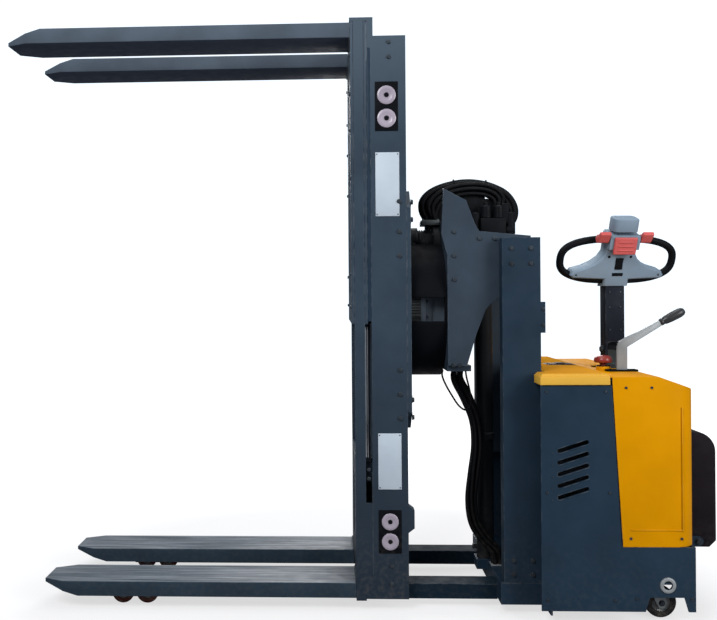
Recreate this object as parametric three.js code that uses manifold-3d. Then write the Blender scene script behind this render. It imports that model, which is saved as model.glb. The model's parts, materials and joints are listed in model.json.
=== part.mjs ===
// An electric straddle stacker with a turning frame and two pairs of clamping forks.
// Lengths are in millimetres and angles in degrees. +Z is up, +X runs from the fork
// tips to the tiller, and x = 0 is the front face of the turning frame's guide bars.
import * as THREE from 'three';
import { mergeVertices } from 'three/addons/utils/BufferGeometryUtils.js';
import Module from 'manifold-3d';

const wasm = await Module();
wasm.setup();

// Clearances: faces that meet, faces that run past each other, and a cut's overrun
const fit = 0.3;
const running = 0.8;
const overrun = 12;
const weld = 0.0001;

// Facets round a large turned piece
const fineFacets = 32;

const forkSize = {
  width: 185, centreY: 192.5, height: 50, plate: 9, skirt: 8, topZ: 93,
  lowerLength: 1059, upperLength: 1175, tipTaper: 120, tipEdge: 13, tipNarrowing: 34,
  tipChamfer: 70, channelStart: 132,
};
const legSize = {
  width: 84, bottomZ: 26, topZ: 76, tipX: -845, noseTaper: 24, wall: 7,
};
const loadRoller = { radius: 38, width: 64, spacing: 84, frontX: -798, axle: 9 };
const bar = { depth: 34, width: 22, bottomZ: 34, capZ: 1961, capHeight: 12 };
const column = {
  frontX: 56, depth: 118, web: 10, flange: 12, flangeWidth: 98, boxX: 72, bottomZ: 40,
  topZ: 1911, legGapZ: 95,
};
const stopBuffer = { bottomZ: 255, height: 100, reach: 20, width: 44 };
const mountPlate = { thickness: 14, height: 800, holeRadius: 100, chamfer: 60 };
const turning = { axisZ: 1000 };
const gear = {
  module: 6, ringTeeth: 64, pinionTeeth: 14, pressureAngle: 20, backlash: 0.9,
  addendumShare: 0.8, dedendumShare: 1.1, width: 40, boreRadius: 150, pinionWidth: 35,
};
const bearing = { innerRadius: 110, lipRadius: 172, lip: 20, bodyRadius: 165, spigotInset: 4,
  facets: 28,
};
const guard = {
  radius: 240, wall: 4, flangeWidth: 34, flange: 6, gapToPlate: 5, sideGap: 81, topAngle: 36,
};
const slewMotor = {
  radius: 50, flangeRadius: 64, flange: 12, shaftRadius: 18, hoodRadius: 58, hoodWall: 4,
  portRadius: 14, portHeight: 24, portX: 276, portShare: 0.8,
};
const beam = {
  frontX: 312.6, plate: 20, bottomZ: 790, topZ: 1310, shelfZ: 1225, shelfReach: 510,
  cornerCut: 70, ribY: 90, ribWidth: 12, ribReach: 90, ribHeight: 220, footReach: 60,
};
const sidePlate = { outerY: 245, thickness: 20, railX: 500, railBackX: 590, railBottomZ: 440 };
// The side plate's cut edge, as shares of its depth to the rail and of its height above
// the slewing axis (upper) or below it (lower)
const shelfTopShare = 0.66;
const upperEdgeShares = [
  [0.57, 0.643], [0.49, 0.71], [0.34, 0.9], [0.15, 0.945], [-0.06, 1], [-0.1, 0.62], [0, 0.44],
];
const lowerEdgeShares = [[0, 1], [0.34, 1], [0.51, 0.43], [0.68, 0]];
const guideRoller = { width: 33, axle: 15, lowZ: 500, highZ: 940 };
const mast = {
  frontX: 484, depth: 125, outerY: 300, web: 12, flange: 12, flangeWidth: 50, footZ: 100,
  topZ: 1236, tieHeight: 60, lugReach: 15, lugBottomZ: 922, lugHeight: 102,
};
const ram = {
  x: 473, barrelRadius: 31, barrelTopZ: 1130, rodRadius: 20, boreFloorZ: 590, headRadius: 30,
  headHeight: 20, glandRadius: 36, glandHeight: 40, collarZ: 526, collarHeight: 26,
};
const clampSize = {
  x: 44, y: 220, barrelRadius: 22, rodRadius: 10, barrelTopZ: 1513, rodTopZ: 1030,
  anchorHeight: 63, headHeight: 27, boreTopZ: 1490, glandRadius: 23.4, glandHeight: 22,
};
const lowerCarriage = { bottomZ: 84, topZ: 484, windowWidth: 190, windowZ: 180, windowTopZ: 410 };
const upperCarriage = {
  plate: 9, gap: 0.8, web: 18, lip: 9, bottomZ: 954, topZ: 1960, windowWidth: 190,
  windowZ: 1060, windowTopZ: 1830,
};
const topTie = { height: 110, plate: 12 };
const chassis = {
  width: 800, frontX: 583, backX: 1063, sheet: 6, sillZ: 45, sideTopZ: 760, coverZ: 249,
  seamTopX: 806, seamBottomX: 838, bulkheadX: 612, footFrontX: 474, footBottomZ: 30,
  archX: 907, archBackX: 1041, archZ: 90, floorZ: 130, floorPlate: 8, wellX: 800, wellY: 200,
  drivePlateY: 320,
  driveZ: 300, drivePlate: 12, eyeX: 976, eyeZ: 129, eyeRadius: 14, eyeRing: 25, eyeRim: 3,
};
const louvre = { count: 5, length: 104, height: 13, pitch: 37, x: 684, topZ: 566, slant: 18 };
const lid = { backX: 802, topZ: 796, wall: 4, wingY: 310, edge: 8 };
const cover = {
  topZ: 786, wall: 4, bow: 1080, cornerRadius: 70, slopeX: 952, slopeDrop: 40,
  tillerHole: 76, slotLength: 84, slotWidth: 22,
};
const battery = { x: 626, depth: 160, width: 624, bottomZ: 138.3, height: 590, terminal: 14 };
const powerPack = {
  x: 880, y: -250, tankDepth: 150, tankWidth: 130, bottomZ: 312.3, tankHeight: 190,
  pumpRadius: 52, pumpHeight: 150, valve: 52, valveTopZ: 706,
};
const drive = {
  x: 932, wheelRadius: 112, wheelWidth: 68, axleRadius: 18, legInner: 45, legWidth: 44,
  legDepth: 104, legBottomZ: 66, columnRadius: 92, columnBottomZ: 252, flangeRadius: 126,
  flange: 14, holeRadius: 99, motorRadius: 78, motorHeight: 215, motorCap: 26,
  cheekInner: 86, cheek: 9, cheekDepth: 60, bridgeZ: 700, bridge: 14, postRadius: 44,
  postTopZ: 792,
};
const tiller = {
  pivotZ: 850, restTurn: 8, armWidth: 70, armDepth: 44, wall: 8, armLength: 226,
  tailLength: 30, tongueWidth: 53, tongueRadius: 20, pinRadius: 8, wallStart: 26,
};
const head = {
  lean: 20, depth: 52, neckWidth: 90, neckTopZ: 38, wingWidth: 344, wingTipHeight: 26,
  shoulderZ: 132, crownWidth: 108, crownTopZ: 206, crownReach: 48, crownBottomZ: 150, bevel: 5,
};
const ring = { width: 440, height: 180, bottomZ: 10, radius: 13, squareness: 2.7, steps: 44 };
const paddle = {
  shaftRadius: 6, shaftY: -32, shaftZ: 186, hub: 15, inner: 58, width: 38, wing: 30, tip: 9,
};
const endButton = { width: 92, depth: 60, height: 46, gap: 7, y: -17, stemRadius: 6, stem: 12 };
const rocker = { width: 26, height: 40, depth: 9, z: 92, pinRadius: 3, proud: 4 };
const eStop = {
  x: 854, y: -150, radius: 31, cap: 26, gap: 12, stemRadius: 11, collarRadius: 24, collar: 14,
};
const lever = {
  x: 903, y: -190, pivotZ: 740, thickness: 12, hub: 18, pin: 8, kneeZ: 868, baseWidth: 38,
  tipWidth: 15, reach: 122, rise: 76, grip: 92, gripRadius: 16, tilt: 27,
};
const caster = {
  x: 951, inset: 92, trail: 30, radius: 50, width: 36, axle: 8, cheek: 5, cheekGap: 2,
  swivelRadius: 30, swivel: 12, cheekWidth: 34,
};
const platform = {
  x: 1108, thickness: 85, bottomZ: 206, height: 382, width: 480, topRound: 66, pivotInset: 22,
  pinRadius: 10, lug: 12, lugReach: 22,
};
const hose = { archRadius: 24, hangingRadius: 22, steps: 26, sides: 8, y: -92 };

// Shorthand for sizes that several pieces share
const sides = [['left', 1], ['right', -1]];
const forkOuterY = forkSize.centreY + forkSize.width / 2;
const columnBackX = column.frontX + column.depth;
const plateFrontX = columnBackX + fit;
const plateBackX = plateFrontX + mountPlate.thickness;
const gearBackX = plateBackX + fit + gear.width;
const ringPitch = gear.module * gear.ringTeeth / 2;
const pinionPitch = gear.module * gear.pinionTeeth / 2;
const pinionZ = turning.axisZ + ringPitch + pinionPitch;
const mastBackX = mast.frontX + mast.depth;
const rollerX = mast.frontX + mast.depth / 2;
const barInnerY = forkOuterY - bar.width;
const barTopZ = bar.capZ + bar.capHeight;
const halfWidth = chassis.width / 2;
const driveTopZ = chassis.driveZ + chassis.drivePlate + fit + drive.flange;
const tillerTurn = THREE.MathUtils.degToRad(tiller.restTurn);
const headLean = THREE.MathUtils.degToRad(head.lean);

const paint = (color, roughness, metalness = 0) => ({ color, roughness, metalness });
const finishes = {
  darkSteel: paint(0x2b3f50, 0.45, 0.3),
  frameSteel: paint(0x34434f, 0.45, 0.3),
  carriageSteel: paint(0x3d4e5a, 0.45, 0.3),
  yellow: paint(0xe09a12, 0.4),
  black: paint(0x15171b, 0.6),
  chrome: paint(0xc8ccd0, 0.15, 1),
  bareSteel: paint(0x8a8f94, 0.35, 0.9),
  polyurethane: paint(0x6b2f28, 0.55),
  tyre: paint(0x2a2a2c, 0.8),
  greyPlastic: paint(0x7f94a6, 0.5),
  red: paint(0xc23a30, 0.45),
  zinc: paint(0xb4b9ba, 0.35, 0.7),
  castIron: paint(0x50595c, 0.7, 0.4),
  batteryCase: paint(0x3a3d42, 0.7),
};

const machine = new THREE.Group();
machine.position.x = (forkSize.upperLength - platform.x - platform.thickness) / 2;

// Turns a three.js geometry into a solid with shared corners and faces pointing out.
function toSolid(geometry) {
  geometry.deleteAttribute('normal');
  geometry.deleteAttribute('uv');
  const welded = mergeVertices(geometry, weld);
  const place = welded.attributes.position;
  const corners = [];
  let volume = 0;
  const [a, b, c] = [new THREE.Vector3(), new THREE.Vector3(), new THREE.Vector3()];
  for (let i = 0; i < welded.index.count; i += 3) {
    const [p, q, r] = [welded.index.getX(i), welded.index.getX(i + 1), welded.index.getX(i + 2)];
    if (p === q || q === r || r === p) continue;
    corners.push(p, q, r);
    a.fromBufferAttribute(place, p);
    b.fromBufferAttribute(place, q);
    c.fromBufferAttribute(place, r);
    volume += a.dot(b.cross(c));
  }
  if (volume < 0) corners.reverse();
  return new wasm.Manifold(new wasm.Mesh({
    numProp: 3,
    vertProperties: new Float32Array(place.array),
    triVerts: new Uint32Array(corners),
  }));
}

function join(...solids) {
  return solids.reduce((whole, piece) => whole.add(piece));
}

function cut(solid, ...tools) {
  return tools.reduce((rest, tool) => rest.subtract(tool), solid);
}

function add(name, solid, finish, group = machine) {
  const mesh = solid.getMesh();
  const geometry = new THREE.BufferGeometry();
  geometry.setAttribute('position', new THREE.BufferAttribute(mesh.vertProperties, 3));
  geometry.setIndex(new THREE.BufferAttribute(mesh.triVerts, 1));
  geometry.computeVertexNormals();
  const piece = new THREE.Mesh(geometry, new THREE.MeshStandardMaterial(finish));
  piece.name = name;
  group.add(piece);
}

// A box between two x, two y and two z places, in either order.
function block(x, y, z) {
  const size = [x, y, z].map(([from, to]) => Math.abs(to - from));
  const middle = [x, y, z].map(([from, to]) => (from + to) / 2);
  return toSolid(new THREE.BoxGeometry(...size).translate(...middle));
}

// The y range from one distance to another on the left (+1) or right (-1) side.
function across(side, inner, outer) {
  return [side * inner, side * outer];
}

function outline(points) {
  return new THREE.Shape(points.map(([u, v]) => new THREE.Vector2(u, v)));
}

// Extrudes an outline along x (drawn in y, z), y (drawn in x, z) or z (drawn in x, y).
function extrude(shape, axis, [from, to], curveSegments = 12) {
  const low = Math.min(from, to);
  const depth = Math.abs(to - from);
  const geometry = new THREE.ExtrudeGeometry(shape, { depth, bevelEnabled: false, curveSegments });
  if (axis === 'x') {
    const turn = new THREE.Matrix4().set(0, 0, 1, low, 1, 0, 0, 0, 0, 1, 0, 0, 0, 0, 0, 1);
    geometry.applyMatrix4(turn);
  } else if (axis === 'y') {
    geometry.rotateX(Math.PI / 2).translate(0, low + depth, 0);
  } else {
    geometry.translate(0, 0, low);
  }
  return toSolid(geometry);
}

// Revolves [radius, along] pairs round an axis that starts at a place. The turned
// piece stands on a flat of its facets when the axis is level.
function turned(profile, axis, [x, y, z], segments = 20) {
  const points = profile.map(([radius, along]) => new THREE.Vector2(radius, along));
  const geometry = new THREE.LatheGeometry(points, segments, Math.PI / segments);
  if (axis === 'x') geometry.rotateZ(-Math.PI / 2);
  if (axis === 'z') geometry.rotateX(Math.PI / 2);
  return toSolid(geometry.translate(x, y, z));
}

function rod(axis, place, radius, length, segments = 16) {
  const profile = [[0, 0], [radius, 0], [radius, length], [0, length]];
  return turned(profile, axis, place, segments);
}

function ringProfile(inner, outer, from, to, edge = 0) {
  return [
    [inner, from], [outer - edge, from], [outer, from + edge],
    [outer, to - edge], [outer - edge, to], [inner, to], [inner, from],
  ];
}

// A wheel with its axle level along y, its tread's flats at the stated radius.
function wheel(bore, radius, width, [x, y, z], axis = 'y', segments = 20) {
  const tread = radius / Math.cos(Math.PI / segments);
  const profile = ringProfile(bore + fit * 2, tread, -width / 2, width / 2, width / 14);
  return turned(profile, axis, [x, y, z], segments);
}

function roundedBox(width, height, radius) {
  const [w, h] = [width / 2, height / 2];
  const shape = new THREE.Shape();
  shape.moveTo(-w + radius, -h).lineTo(w - radius, -h);
  shape.absarc(w - radius, -h + radius, radius, -Math.PI / 2, 0);
  shape.absarc(w - radius, h - radius, radius, 0, Math.PI / 2);
  shape.absarc(-w + radius, h - radius, radius, Math.PI / 2, Math.PI);
  shape.absarc(-w + radius, -h + radius, radius, Math.PI, Math.PI * 1.5);
  return shape;
}

// A ring sector, from one angle to another, counted from +y towards +z.
function sector(inner, outer, fromDegrees, toDegrees, x, [y, z], steps = 20) {
  const [from, to] = [fromDegrees, toDegrees].map(THREE.MathUtils.degToRad);
  const shape = new THREE.Shape();
  shape.absarc(y, z, outer, from, to, false);
  shape.absarc(y, z, inner, to, from, true);
  return extrude(shape, 'x', x, steps);
}

function tube(points, radius, steps, sideCount) {
  const path = new THREE.CatmullRomCurve3(points.map((point) => new THREE.Vector3(...point)));
  const section = new THREE.Shape();
  for (let i = 0; i < sideCount; i += 1) {
    const turn = (i / sideCount) * Math.PI * 2;
    const corner = [radius * Math.cos(turn), radius * Math.sin(turn)];
    if (i === 0) section.moveTo(...corner);
    else section.lineTo(...corner);
  }
  const settings = { steps, extrudePath: path, bevelEnabled: false };
  return toSolid(new THREE.ExtrudeGeometry(section, settings));
}

// Forks: an inverted channel over the support leg, or the same turned upside down.
function fork(side, length, heelX, upsideDown) {
  const level = (z) => (upsideDown ? 2 * turning.axisZ - z : z);
  const topZ = forkSize.topZ;
  const bottomZ = topZ - forkSize.height;
  const tipX = -length;
  const half = forkSize.width / 2;
  const y = side * forkSize.centreY;
  const plan = outline([
    [heelX, y - half], [heelX, y + half], [tipX + forkSize.tipChamfer, y + half],
    [tipX, y + half - forkSize.tipNarrowing], [tipX, y - half + forkSize.tipNarrowing],
    [tipX + forkSize.tipChamfer, y - half],
  ]);
  const profile = outline([
    [heelX, level(topZ)], [tipX, level(topZ)], [tipX, level(topZ - forkSize.tipEdge)],
    [tipX + forkSize.tipTaper, level(bottomZ)], [heelX, level(bottomZ)],
  ]);
  const body = extrude(plan, 'z', [level(bottomZ), level(topZ)])
    .intersect(extrude(profile, 'y', [y - half, y + half]));
  const channelHalf = half - forkSize.skirt;
  const channel = block(
    [tipX + forkSize.channelStart, heelX + overrun],
    [y - channelHalf, y + channelHalf],
    [level(topZ - forkSize.plate), level(bottomZ - overrun)],
  );
  return cut(body, channel);
}

function supportLeg(side) {
  const half = legSize.width / 2;
  const y = side * forkSize.centreY;
  const footX = chassis.footFrontX - fit;
  const noseZ = (legSize.bottomZ + legSize.topZ) / 2;
  const profile = outline([
    [footX, legSize.bottomZ], [footX, legSize.topZ], [legSize.tipX + legSize.noseTaper, legSize.topZ],
    [legSize.tipX, noseZ], [legSize.tipX, legSize.bottomZ + legSize.wall],
    [legSize.tipX + legSize.wall, legSize.bottomZ],
  ]);
  const beamSolid = extrude(profile, 'y', [y - half, y + half]);
  const pocket = half - legSize.wall;
  const pocketBack = loadRoller.frontX + loadRoller.spacing + loadRoller.radius + legSize.wall;
  const window = block(
    [legSize.tipX + legSize.wall, pocketBack], [y - pocket, y + pocket],
    [-overrun, legSize.topZ + overrun],
  );
  const axles = [0, 1].map((i) => rod('y', [
    loadRoller.frontX + i * loadRoller.spacing, y - half, loadRoller.radius,
  ], loadRoller.axle, legSize.width, 12));
  return join(cut(beamSolid, window), ...axles);
}

function addRunningGear() {
  for (const [name, side] of sides) {
    add(`support_leg_${name}`, supportLeg(side), finishes.frameSteel);
    for (const [place, i] of [['front', 0], ['rear', 1]]) {
      const x = loadRoller.frontX + i * loadRoller.spacing;
      const centre = [x, side * forkSize.centreY, loadRoller.radius];
      const roller = wheel(loadRoller.axle, loadRoller.radius, loadRoller.width, centre);
      add(`load_roller_${name}_${place}`, roller, finishes.polyurethane);
    }
    addCaster(name, side);
  }
}

function addCaster(name, side) {
  const y = side * (halfWidth - caster.inset);
  const topZ = chassis.floorZ - fit;
  const wheelX = caster.x + caster.trail;
  const swivel = rod('z', [caster.x, y, topZ - caster.swivel], caster.swivelRadius, caster.swivel);
  const inner = caster.width / 2 + caster.cheekGap;
  const low = caster.radius - caster.cheekWidth / 2;
  const cheek = outline([
    [caster.x - caster.swivelRadius * 0.8, topZ], [caster.x + caster.swivelRadius * 0.8, topZ],
    [wheelX + caster.cheekWidth / 2, caster.radius], [wheelX + caster.axle, low],
    [wheelX - caster.axle, low], [wheelX - caster.cheekWidth / 2, caster.radius],
  ]);
  const cheeks = [1, -1].map((way) => extrude(cheek, 'y', [
    y + way * inner, y + way * (inner + caster.cheek),
  ]));
  const bridge = block(
    [caster.x - caster.swivelRadius * 0.7, caster.x + caster.swivelRadius * 0.7],
    [y - inner - caster.cheek / 2, y + inner + caster.cheek / 2], [topZ - caster.swivel, topZ],
  );
  const axle = rod('y', [wheelX, y - inner - caster.cheek, caster.radius], caster.axle,
    2 * (inner + caster.cheek), 12);
  add(`caster_fork_${name}`, join(swivel, bridge, ...cheeks, axle), finishes.bareSteel);
  const tyre = wheel(caster.axle, caster.radius, caster.width, [wheelX, y, caster.radius]);
  add(`caster_wheel_${name}`, tyre, finishes.tyre);
}

// The turning frame: columns with guide bars, a top tie and the mounting plate.
function frameSide(side) {
  const webInner = forkOuterY - column.web;
  const boxInner = forkOuterY - column.flangeWidth;
  const barBody = block([0, bar.depth], across(side, barInnerY, forkOuterY), [bar.bottomZ, barTopZ]);
  const lipBackX = bar.depth + upperCarriage.gap + upperCarriage.lip;
  const capEnd = lipBackX + running * 2;
  const cap = block([-upperCarriage.plate - running * 4, column.frontX],
    across(side, barInnerY, forkOuterY), [bar.capZ, barTopZ]);
  const capLeg = block([capEnd, column.frontX + column.web],
    across(side, barInnerY, forkOuterY), [column.topZ - column.web * 4, barTopZ]);
  const web = block([column.frontX, columnBackX], across(side, webInner, forkOuterY),
    [column.bottomZ, column.topZ]);
  const flanges = [column.boxX, columnBackX - column.flange].map((x) => block(
    [x, x + column.flange], across(side, boxInner, forkOuterY), [column.legGapZ, column.topZ]));
  const foot = block([bar.depth / 2, column.frontX + column.web],
    across(side, webInner, forkOuterY), [column.bottomZ, lowerCarriage.topZ - clampSize.anchorHeight * 2]);
  const anchorHalf = clampSize.barrelRadius;
  const anchor = block([bar.depth + fit * 2, column.boxX + column.flange / 2],
    across(side, clampSize.y - anchorHalf, clampSize.y + anchorHalf),
    [lowerCarriage.topZ - clampSize.anchorHeight, lowerCarriage.topZ]);
  const buffer = extrude(outline([
    [columnBackX - column.flange / 2, stopBuffer.bottomZ],
    [columnBackX + stopBuffer.reach, stopBuffer.bottomZ + stopBuffer.reach],
    [columnBackX + stopBuffer.reach, stopBuffer.bottomZ + stopBuffer.height - stopBuffer.reach],
    [columnBackX - column.flange / 2, stopBuffer.bottomZ + stopBuffer.height],
  ]), 'y', across(side, forkOuterY - stopBuffer.width, forkOuterY));
  return join(barBody, cap, capLeg, web, ...flanges, foot, anchor, buffer);
}

function addTurningFrame() {
  for (const [name, side] of sides) add(`frame_side_${name}`, frameSide(side), finishes.frameSteel);
  const boxInner = forkOuterY - column.flangeWidth - fit;
  const middleX = (column.boxX + columnBackX) / 2;
  const tieShelf = block([column.boxX, columnBackX], [-boxInner, boxInner],
    [column.topZ - topTie.plate, column.topZ]);
  const tieWeb = block([middleX - topTie.plate / 2, middleX + topTie.plate / 2],
    [-boxInner, boxInner], [column.topZ - topTie.height, column.topZ]);
  add('frame_top_tie', join(tieShelf, tieWeb), finishes.frameSteel);
  const [low, high] = [-1, 1].map((way) => turning.axisZ + way * mountPlate.height / 2);
  const [y, c] = [forkOuterY, mountPlate.chamfer];
  const face = outline([
    [-y, low + c], [-y + c, low], [y - c, low], [y, low + c],
    [y, high - c], [y - c, high], [-y + c, high], [-y, high - c],
  ]);
  const hole = new THREE.Path().absarc(0, turning.axisZ, mountPlate.holeRadius, 0, Math.PI * 2);
  face.holes.push(hole);
  add('slew_mount_plate', extrude(face, 'x', [plateFrontX, plateBackX], fineFacets), finishes.frameSteel);
}

// Teeth with involute flanks, as an outline round a centre drawn in y, z.
function gearOutline(teeth, phase, [y, z]) {
  const pressure = THREE.MathUtils.degToRad(gear.pressureAngle);
  const involute = (angle) => Math.tan(angle) - angle;
  const pitch = gear.module * teeth / 2;
  const base = pitch * Math.cos(pressure);
  const tip = pitch + gear.addendumShare * gear.module;
  const root = pitch - gear.dedendumShare * gear.module;
  const atPitch = Math.PI / (2 * teeth) - gear.backlash / (2 * pitch);
  const half = (radius) => {
    const angle = Math.acos(Math.min(1, base / Math.max(radius, base)));
    return atPitch + involute(pressure) - involute(angle);
  };
  const flank = [root, pitch, tip];
  const shape = new THREE.Shape();
  for (let i = 0; i < teeth; i += 1) {
    const middle = phase + (i / teeth) * Math.PI * 2;
    const rising = flank.map((radius) => [radius, middle - half(radius)]);
    const falling = flank.toReversed().map((radius) => [radius, middle + half(radius)]);
    for (const [radius, angle] of [...rising, ...falling]) {
      const corner = [y + radius * Math.cos(angle), z + radius * Math.sin(angle)];
      if (shape.curves.length === 0 && shape.currentPoint.length() === 0) shape.moveTo(...corner);
      else shape.lineTo(...corner);
    }
  }
  return shape;
}

function addSlewingUnit() {
  const axis = [0, turning.axisZ];
  const teeth = gearOutline(gear.ringTeeth, 0, axis);
  teeth.holes.push(new THREE.Path().absarc(...axis, gear.boreRadius, 0, Math.PI * 2));
  const frontX = plateBackX + fit;
  add('slew_ring_gear', extrude(teeth, 'x', [frontX, gearBackX], bearing.facets / 2), finishes.castIron);

  const backX = beam.frontX - fit;
  const spigot = gear.boreRadius * Math.cos(Math.PI / bearing.facets) - fit;
  add('slew_bearing', turned([
    [bearing.innerRadius, frontX + bearing.spigotInset], [spigot, frontX + bearing.spigotInset],
    [spigot, gearBackX + running], [bearing.lipRadius, gearBackX + running],
    [bearing.lipRadius, gearBackX + running + bearing.lip],
    [bearing.bodyRadius, gearBackX + running + bearing.lip], [bearing.bodyRadius, backX],
    [bearing.innerRadius, backX], [bearing.innerRadius, frontX + bearing.spigotInset],
  ], 'x', [0, ...axis], bearing.facets), finishes.carriageSteel);

  const innerRadius = guard.radius - guard.wall;
  const gapAngle = THREE.MathUtils.radToDeg(Math.asin(guard.sideGap / 2 / guard.radius));
  const lowAngle = 90 - guard.topAngle / 2;
  const shellX = [plateBackX + guard.gapToPlate, backX];
  const shells = [
    [gapAngle, lowAngle], [180 - lowAngle, 180 - gapAngle], [180 + gapAngle, 360 - gapAngle],
  ].map(([from, to], i) => sector(innerRadius, guard.radius, from, to, shellX, axis, i < 2 ? 5 : 10));
  const rim = sector(guard.radius - guard.flangeWidth, guard.radius - guard.wall / 2,
    180 - lowAngle, 360 + lowAngle, [backX - guard.flange, backX], axis, 18);
  add('slew_guard', join(rim, ...shells), finishes.black);

  const pinionAxis = [0, pinionZ];
  const phase = -Math.PI / 2 + Math.PI / gear.pinionTeeth;
  const pinion = gearOutline(gear.pinionTeeth, phase, pinionAxis);
  const bore = slewMotor.shaftRadius + fit * 2;
  pinion.holes.push(new THREE.Path().absarc(...pinionAxis, bore, 0, Math.PI * 2));
  const pinionX = [frontX + running, frontX + running + gear.pinionWidth];
  add('slew_pinion', extrude(pinion, 'x', pinionX, 12), finishes.castIron);

  const bodyX = gearBackX + running;
  const motorBody = turned([
    [0, pinionX[0]], [slewMotor.shaftRadius, pinionX[0]], [slewMotor.shaftRadius, bodyX],
    [slewMotor.hoodRadius, bodyX], [slewMotor.hoodRadius, bodyX + slewMotor.hoodWall],
    [slewMotor.radius, bodyX + slewMotor.hoodWall * 2], [slewMotor.radius, backX - slewMotor.flange * 2],
    [slewMotor.flangeRadius, backX - slewMotor.flange], [slewMotor.flangeRadius, backX], [0, backX],
  ], 'x', [0, ...pinionAxis], 28);
  const hood = sector(slewMotor.hoodRadius - slewMotor.hoodWall, slewMotor.hoodRadius, 4, 176,
    [frontX + running, bodyX + slewMotor.hoodWall / 2], pinionAxis, 7);
  const port = rod('z', [slewMotor.portX, 0, pinionZ + slewMotor.radius * slewMotor.portShare],
    slewMotor.portRadius, slewMotor.portHeight, 12);
  add('slew_motor', join(motorBody, hood, port), finishes.castIron);
}

// The lift carriage: two cut plates that straddle a beam and run inside the mast.
function addCarriage() {
  const inner = sidePlate.outerY - sidePlate.thickness;
  const beamHalf = inner - fit;
  const backX = beam.frontX + beam.plate;
  const cutCorner = beam.cornerCut;
  const face = outline([
    [-beamHalf, beam.bottomZ], [beamHalf, beam.bottomZ], [beamHalf, beam.topZ - cutCorner],
    [beamHalf - cutCorner, beam.topZ], [cutCorner - beamHalf, beam.topZ],
    [-beamHalf, beam.topZ - cutCorner],
  ]);
  face.holes.push(new THREE.Path().absarc(0, turning.axisZ, bearing.innerRadius, 0, Math.PI * 2));
  const front = extrude(face, 'x', [beam.frontX, backX], fineFacets);
  const shelf = block([beam.frontX + beam.plate / 2, beam.shelfReach], [-beamHalf, beamHalf],
    [beam.shelfZ, beam.shelfZ + beam.plate]);
  const sill = block([beam.frontX + beam.plate / 2, backX + beam.footReach], [-beamHalf, beamHalf],
    [beam.bottomZ, beam.bottomZ + beam.plate]);
  const rib = outline([
    [backX - beam.plate / 2, beam.shelfZ - beam.ribHeight],
    [backX, beam.shelfZ - beam.ribHeight], [backX + beam.ribReach, beam.shelfZ],
    [backX + beam.ribReach, beam.shelfZ + beam.plate / 2],
    [backX - beam.plate / 2, beam.shelfZ + beam.plate / 2],
  ]);
  const ribs = [1, -1].map((side) => extrude(rib, 'y',
    across(side, beam.ribY - beam.ribWidth / 2, beam.ribY + beam.ribWidth / 2)));
  const body = join(front, shelf, sill, ...ribs);
  add('carriage_beam', cut(body, rod('x', [beam.frontX - overrun, 0, turning.axisZ],
    bearing.innerRadius, beam.plate + overrun * 2, fineFacets)), finishes.carriageSteel);

  const { railX, railBackX, railBottomZ } = sidePlate;
  const shelfZ = beam.shelfZ + beam.plate;
  const depth = railX - beam.frontX;
  const upper = shelfZ + shelfTopShare * (shelfZ - turning.axisZ) - turning.axisZ;
  const lower = turning.axisZ - beam.bottomZ - beam.plate;
  const above = upperEdgeShares.map(([u, v]) => [beam.frontX + u * depth, turning.axisZ + v * upper]);
  const below = lowerEdgeShares.map(([u, v]) => [beam.frontX + u * depth, turning.axisZ - v * lower]);
  const plate = outline([
    ...below, [railX, turning.axisZ + (shelfZ - turning.axisZ) / 4], [railX, railBottomZ],
    [railBackX, railBottomZ], [railBackX, shelfZ], ...above,
  ]);
  for (const [name, side] of sides) {
    const sheet = extrude(plate, 'y', across(side, inner, sidePlate.outerY));
    const axleEnd = mast.outerY - mast.web - running;
    const stubs = [guideRoller.lowZ, guideRoller.highZ].map((z) => rod('y',
      [rollerX, side > 0 ? sidePlate.outerY - fit : -axleEnd, z],
      guideRoller.axle, axleEnd - sidePlate.outerY + fit, 16));
    add(`carriage_plate_${name}`, join(sheet, ...stubs), finishes.carriageSteel);
    for (const [place, z] of [['low', guideRoller.lowZ], ['high', guideRoller.highZ]]) {
      const y = side * (sidePlate.outerY + axleEnd) / 2;
      const radius = mast.depth / 2 - mast.flange - running;
      const solid = turned(ringProfile(guideRoller.axle + fit * 2, radius, -guideRoller.width / 2,
        guideRoller.width / 2, fit * 6), 'y', [rollerX, y, z], 18);
      add(`guide_roller_${name}_${place}`, solid, finishes.bareSteel);
    }
  }
}

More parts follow.
